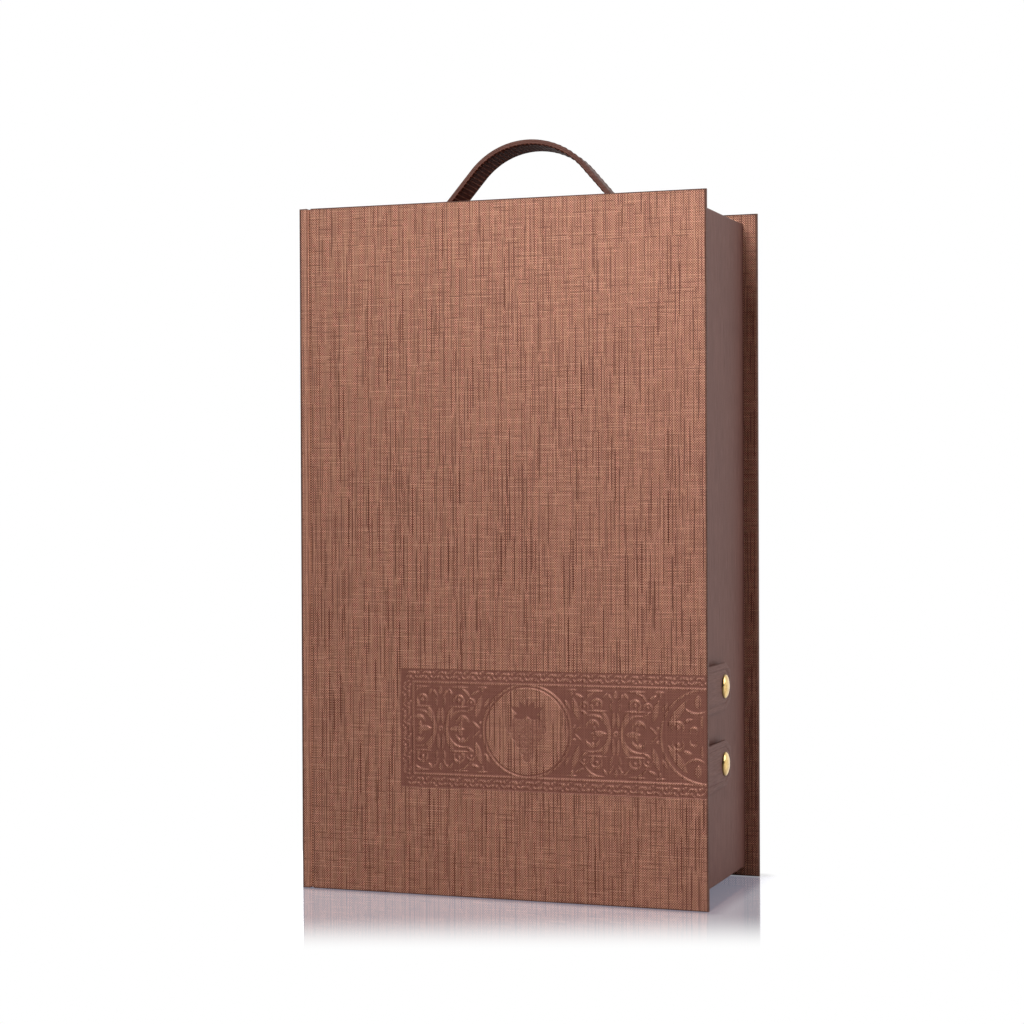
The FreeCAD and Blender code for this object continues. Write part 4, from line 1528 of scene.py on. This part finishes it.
@dataclass
class SnapCap(SubAssembly):
    """Brass cap of a press snap: a full dome with a rolled edge, on a post clinched in the socket."""

    place: str
    crown: float = 2.2
    sheet: float = 0.4
    post: float = 1.7
    clinch: float = 2.2
    clinch_sheet: float = 0.2
    hollow: tuple[float, float] = (0.86, 0.36)
    dome_begin: float = 0.04
    dome_end: float = math.pi / 2 - 0.03
    dome_steps: int = 22
    core: float = 0.05
    rim_begin: float = 0.9
    rim_fade: float = 0.08
    turns: int = 72

    def profile(self, radius: float, grip: float) -> list[tuple[float, float]]:
        """The cap's outline.

        Args:
            radius: the cap's radius in millimetres.
            grip: how deep its post reaches under the tab's face.

        Returns:
            Radius and height from the crown round the edge to the post's end.
        """
        dome = [(radius * math.sin(turn), self.crown * math.cos(turn))
                for turn in np.linspace(self.dome_begin, self.dome_end, self.dome_steps)]
        inner = radius - self.sheet
        hollow = (inner * self.hollow[0], self.crown * self.hollow[1])
        under = [(inner, 0.0), hollow, (self.post, self.crown - 2 * self.sheet)]
        rise = self.clinch_sheet - grip
        return dome + [(radius, 0.0)] + under + [
            (self.post, rise), (self.clinch, rise), (self.clinch, -grip), (self.core, -grip)]

    def build(self) -> None:
        """Turns the cap and sets it in its tab."""
        low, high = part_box(f"{self.place}_snap_cap")
        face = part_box(f"{self.place}_tab_strap")[1].x
        middle_y, middle_z = (low.y + high.y) / 2, (low.z + high.z) / 2
        edge = (high.z - low.z) / 2 / MM
        outline = self.profile(edge, (face - low.x) / MM)
        points = []
        for radius, height in outline:
            for step in range(self.turns):
                turn = 2 * math.pi * step / self.turns
                points.append((face + height * MM, middle_y + radius * MM * math.cos(turn),
                               middle_z + radius * MM * math.sin(turn)))
        name = f"{self.place}_cap"
        mesh = mesh_of(name, points, tube_faces(len(outline), self.turns), self.palette.brass)
        reach = np.repeat([radius / edge for radius, _ in outline], self.turns)
        # Rim mask that carries a painted shade and dark reflection onto the rolled edge.
        paint(mesh, "rim", np.clip((reach - self.rim_begin) / self.rim_fade, 0, 1))
        piece = place_piece(name, mesh)
        set_outwards(piece)
        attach(piece, f"{self.place}_tab")
        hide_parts(f"{self.place}_snap_cap")


@dataclass(frozen=True)
class Softbox:
    """A rectangular lamp that the camera doesn't see.

    Attributes:
        name: the lamp's name.
        place: where it hangs, in metres.
        target: what it is turned to.
        size: width and height.
        power: power in watts.
    """

    name: str
    place: Point
    target: Point
    size: tuple[float, float]
    power: float

    def hang(self) -> None:
        """Puts the lamp into the scene."""
        light = bpy.data.lights.new(self.name, "AREA")
        light.shape = "RECTANGLE"
        light.size, light.size_y = self.size
        light.energy = self.power
        lamp = bpy.data.objects.new(self.name, light)
        bpy.context.scene.collection.objects.link(lamp)
        lamp.location = self.place
        way = Vector(self.target) - Vector(self.place)
        lamp.rotation_euler = way.to_track_quat("-Z", "Y").to_euler()
        lamp.visible_camera = False


@dataclass
class Studio:
    """White floor, soft lamps and the camera of the photograph.

    Sizes on the floor's face are in millimetres. A pair says where a mask begins to change and where it has
    changed. The floor mirrors the box only in a strip before it, about as wide as the camera sees it.
    """

    camera_place: Point = (0.38179, -1.09489, 0.20373)
    lens: float = 78.04
    sensor: float = 36.0
    yaw: float = 19.758
    pitch: float = -0.513
    roll: float = -0.249
    ambient: float = 0.16
    ambient_side: tuple[float, float] = (-0.9, 0.3)
    backdrop_way: tuple[float, float] = (0.1, 0.5)
    floor_half: float = 12.0
    floor_tone: Colour = (0.93, 0.91, 0.96, 1.0)
    reflection_tint: Colour = (0.15, 0.1, 1.0, 1.0)
    box_half: tuple[float, float] = (108.0, 54.0)
    contact: tuple[float, float] = (1.0, 10.0)
    contact_share: float = 0.5
    backdrop_begin: tuple[float, float] = (54.0, 200.0)
    mirror_side: tuple[float, float] = (132.0, 145.0)
    mirror_front: tuple[float, float] = (-174.0, -88.0)
    mirror_back: tuple[float, float] = (45.0, 60.0)
    mirror_grazing: tuple[float, float] = (0.55, 0.78)
    mirror_share: float = 0.7
    lamps: tuple[Softbox, ...] = (
        Softbox("key_softbox", (-0.01, -1.10, 0.66), (0.0, -0.05, 0.2), (0.30, 0.36), 7.6),
        Softbox("side_softbox", (1.25, 0.40, 0.70), (0.1, 0.0, 0.2), (0.8, 0.8), 5.0),
        Softbox("back_softbox", (-0.80, 1.10, 0.60), (0.0, 0.05, 0.2), (0.8, 0.8), 5.0),
    )

    def build(self) -> None:
        """Builds the floor, the light and the camera."""
        self._floor()
        self._world()
        for lamp in self.lamps:
            lamp.hang()
        self._camera()
        bpy.context.scene.view_settings.view_transform = "Standard"

    def _floor(self) -> None:
        """Lays a white floor that keeps a faint shadow and reflection."""
        half, yaw = self.floor_half, math.radians(self.yaw)
        corners = [(-half, -half, 0), (half, -half, 0), (half, half, 0), (-half, half, 0)]
        tree = ShaderTree.of_material("studio_floor")
        x, y, _ = tree.place()
        beside, before = ((place.math("ABSOLUTE") - limit).math("MAXIMUM", 0.0)
                          for place, limit in zip((x, y), self.box_half))
        near = 1 - tree.rise((beside * beside + before * before).math("SQRT"), *self.contact)
        strip = 1 - tree.rise((x + y * math.tan(yaw)).math("ABSOLUTE"), *self.mirror_side)
        ahead = (tree.rise(y * math.cos(yaw) - x * math.sin(yaw), *self.mirror_front)
                 * (1 - tree.rise(y, *self.mirror_back)))
        grazing = tree.rise(tree.node("ShaderNodeLayerWeight", output="Facing"), *self.mirror_grazing)
        camera, glossy, through = tree.rays()
        seen = camera.math("MAXIMUM", through).math("MAXIMUM", glossy * tree.rise(y, *self.backdrop_begin))
        lit = tree.node("ShaderNodeBsdfPrincipled", {}, {"Base Color": self.floor_tone, "Roughness": 0.4})
        glow = tree.node("ShaderNodeEmission", {}, {"Strength": 1.0})
        mirror = tree.node("ShaderNodeBsdfPrincipled", {}, {
            "Base Color": (1, 1, 1, 1), "Metallic": 1.0, "Roughness": 0.05,
            "Emission Color": self.reflection_tint, "Emission Strength": 0.06})
        shown = seen * (1 - near * self.contact_share)
        plain = tree.node("ShaderNodeMixShader", {}, {0: shown, 1: lit, 2: glow})
        share = camera * strip * ahead * grazing * self.mirror_share
        tree.close(tree.node("ShaderNodeMixShader", {}, {0: share, 1: plain, 2: mirror}))
        floor = place_piece("studio_floor", mesh_of("studio_floor", corners, [(0, 1, 2, 3)], tree.owner))

    def _world(self) -> None:
        """Fills the room with soft light; the camera and mirrors see it white behind the box."""
        world = bpy.data.worlds.new("studio")
        tree = ShaderTree(world)
        way = tree.node("ShaderNodeTexCoord", output="Generated")
        behind = tree.rise(tree.axis(way, "Y"), *self.backdrop_way)
        camera, glossy, through = tree.rays()
        white = camera.math("MAXIMUM", through).math("MAXIMUM", glossy * behind)
        shaded = tree.rise(tree.axis(way, "X"), *self.ambient_side) * self.ambient
        strength = white * (1 - shaded) + shaded
        tree.close(tree.node("ShaderNodeBackground", {}, {"Color": (1, 1, 1, 1), "Strength": strength}),
                   "ShaderNodeOutputWorld")
        bpy.context.scene.world = world

    def _camera(self) -> None:
        """Sets the camera where the photograph was taken from."""
        yaw, pitch, roll = (math.radians(angle) for angle in (self.yaw, self.pitch, self.roll))
        level, up = Vector((-math.sin(yaw), math.cos(yaw), 0)), Vector((0, 0, 1))
        right = level.cross(up)
        ahead = level * math.cos(pitch) + up * math.sin(pitch)
        above = up * math.cos(pitch) - level * math.sin(pitch)
        rolled_right = right * math.cos(roll) + above * math.sin(roll)
        rolled_up = above * math.cos(roll) - right * math.sin(roll)
        turn = Matrix((rolled_right, rolled_up, -ahead)).transposed().to_4x4()
        data = bpy.data.cameras.new("photo_camera")
        data.lens, data.sensor_width = self.lens, self.sensor
        camera = bpy.data.objects.new("photo_camera", data)
        bpy.context.scene.collection.objects.link(camera)
        camera.matrix_world = Matrix.Translation(self.camera_place) @ turn
        bpy.context.scene.camera = camera


def main() -> None:
    """Builds the dressed box."""
    logging.basicConfig(level=logging.INFO)
    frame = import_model()
    palette = Palette()
    Studio().build()
    for group in (FrontCover, LinenCase, Tray, CarryStrap):
        group(frame, palette).build()
    for place in ("upper", "lower"):
        ClosingTab(frame, palette, place).build()
        SnapCap(frame, palette, place).build()


if __name__ == "__main__":
    main()
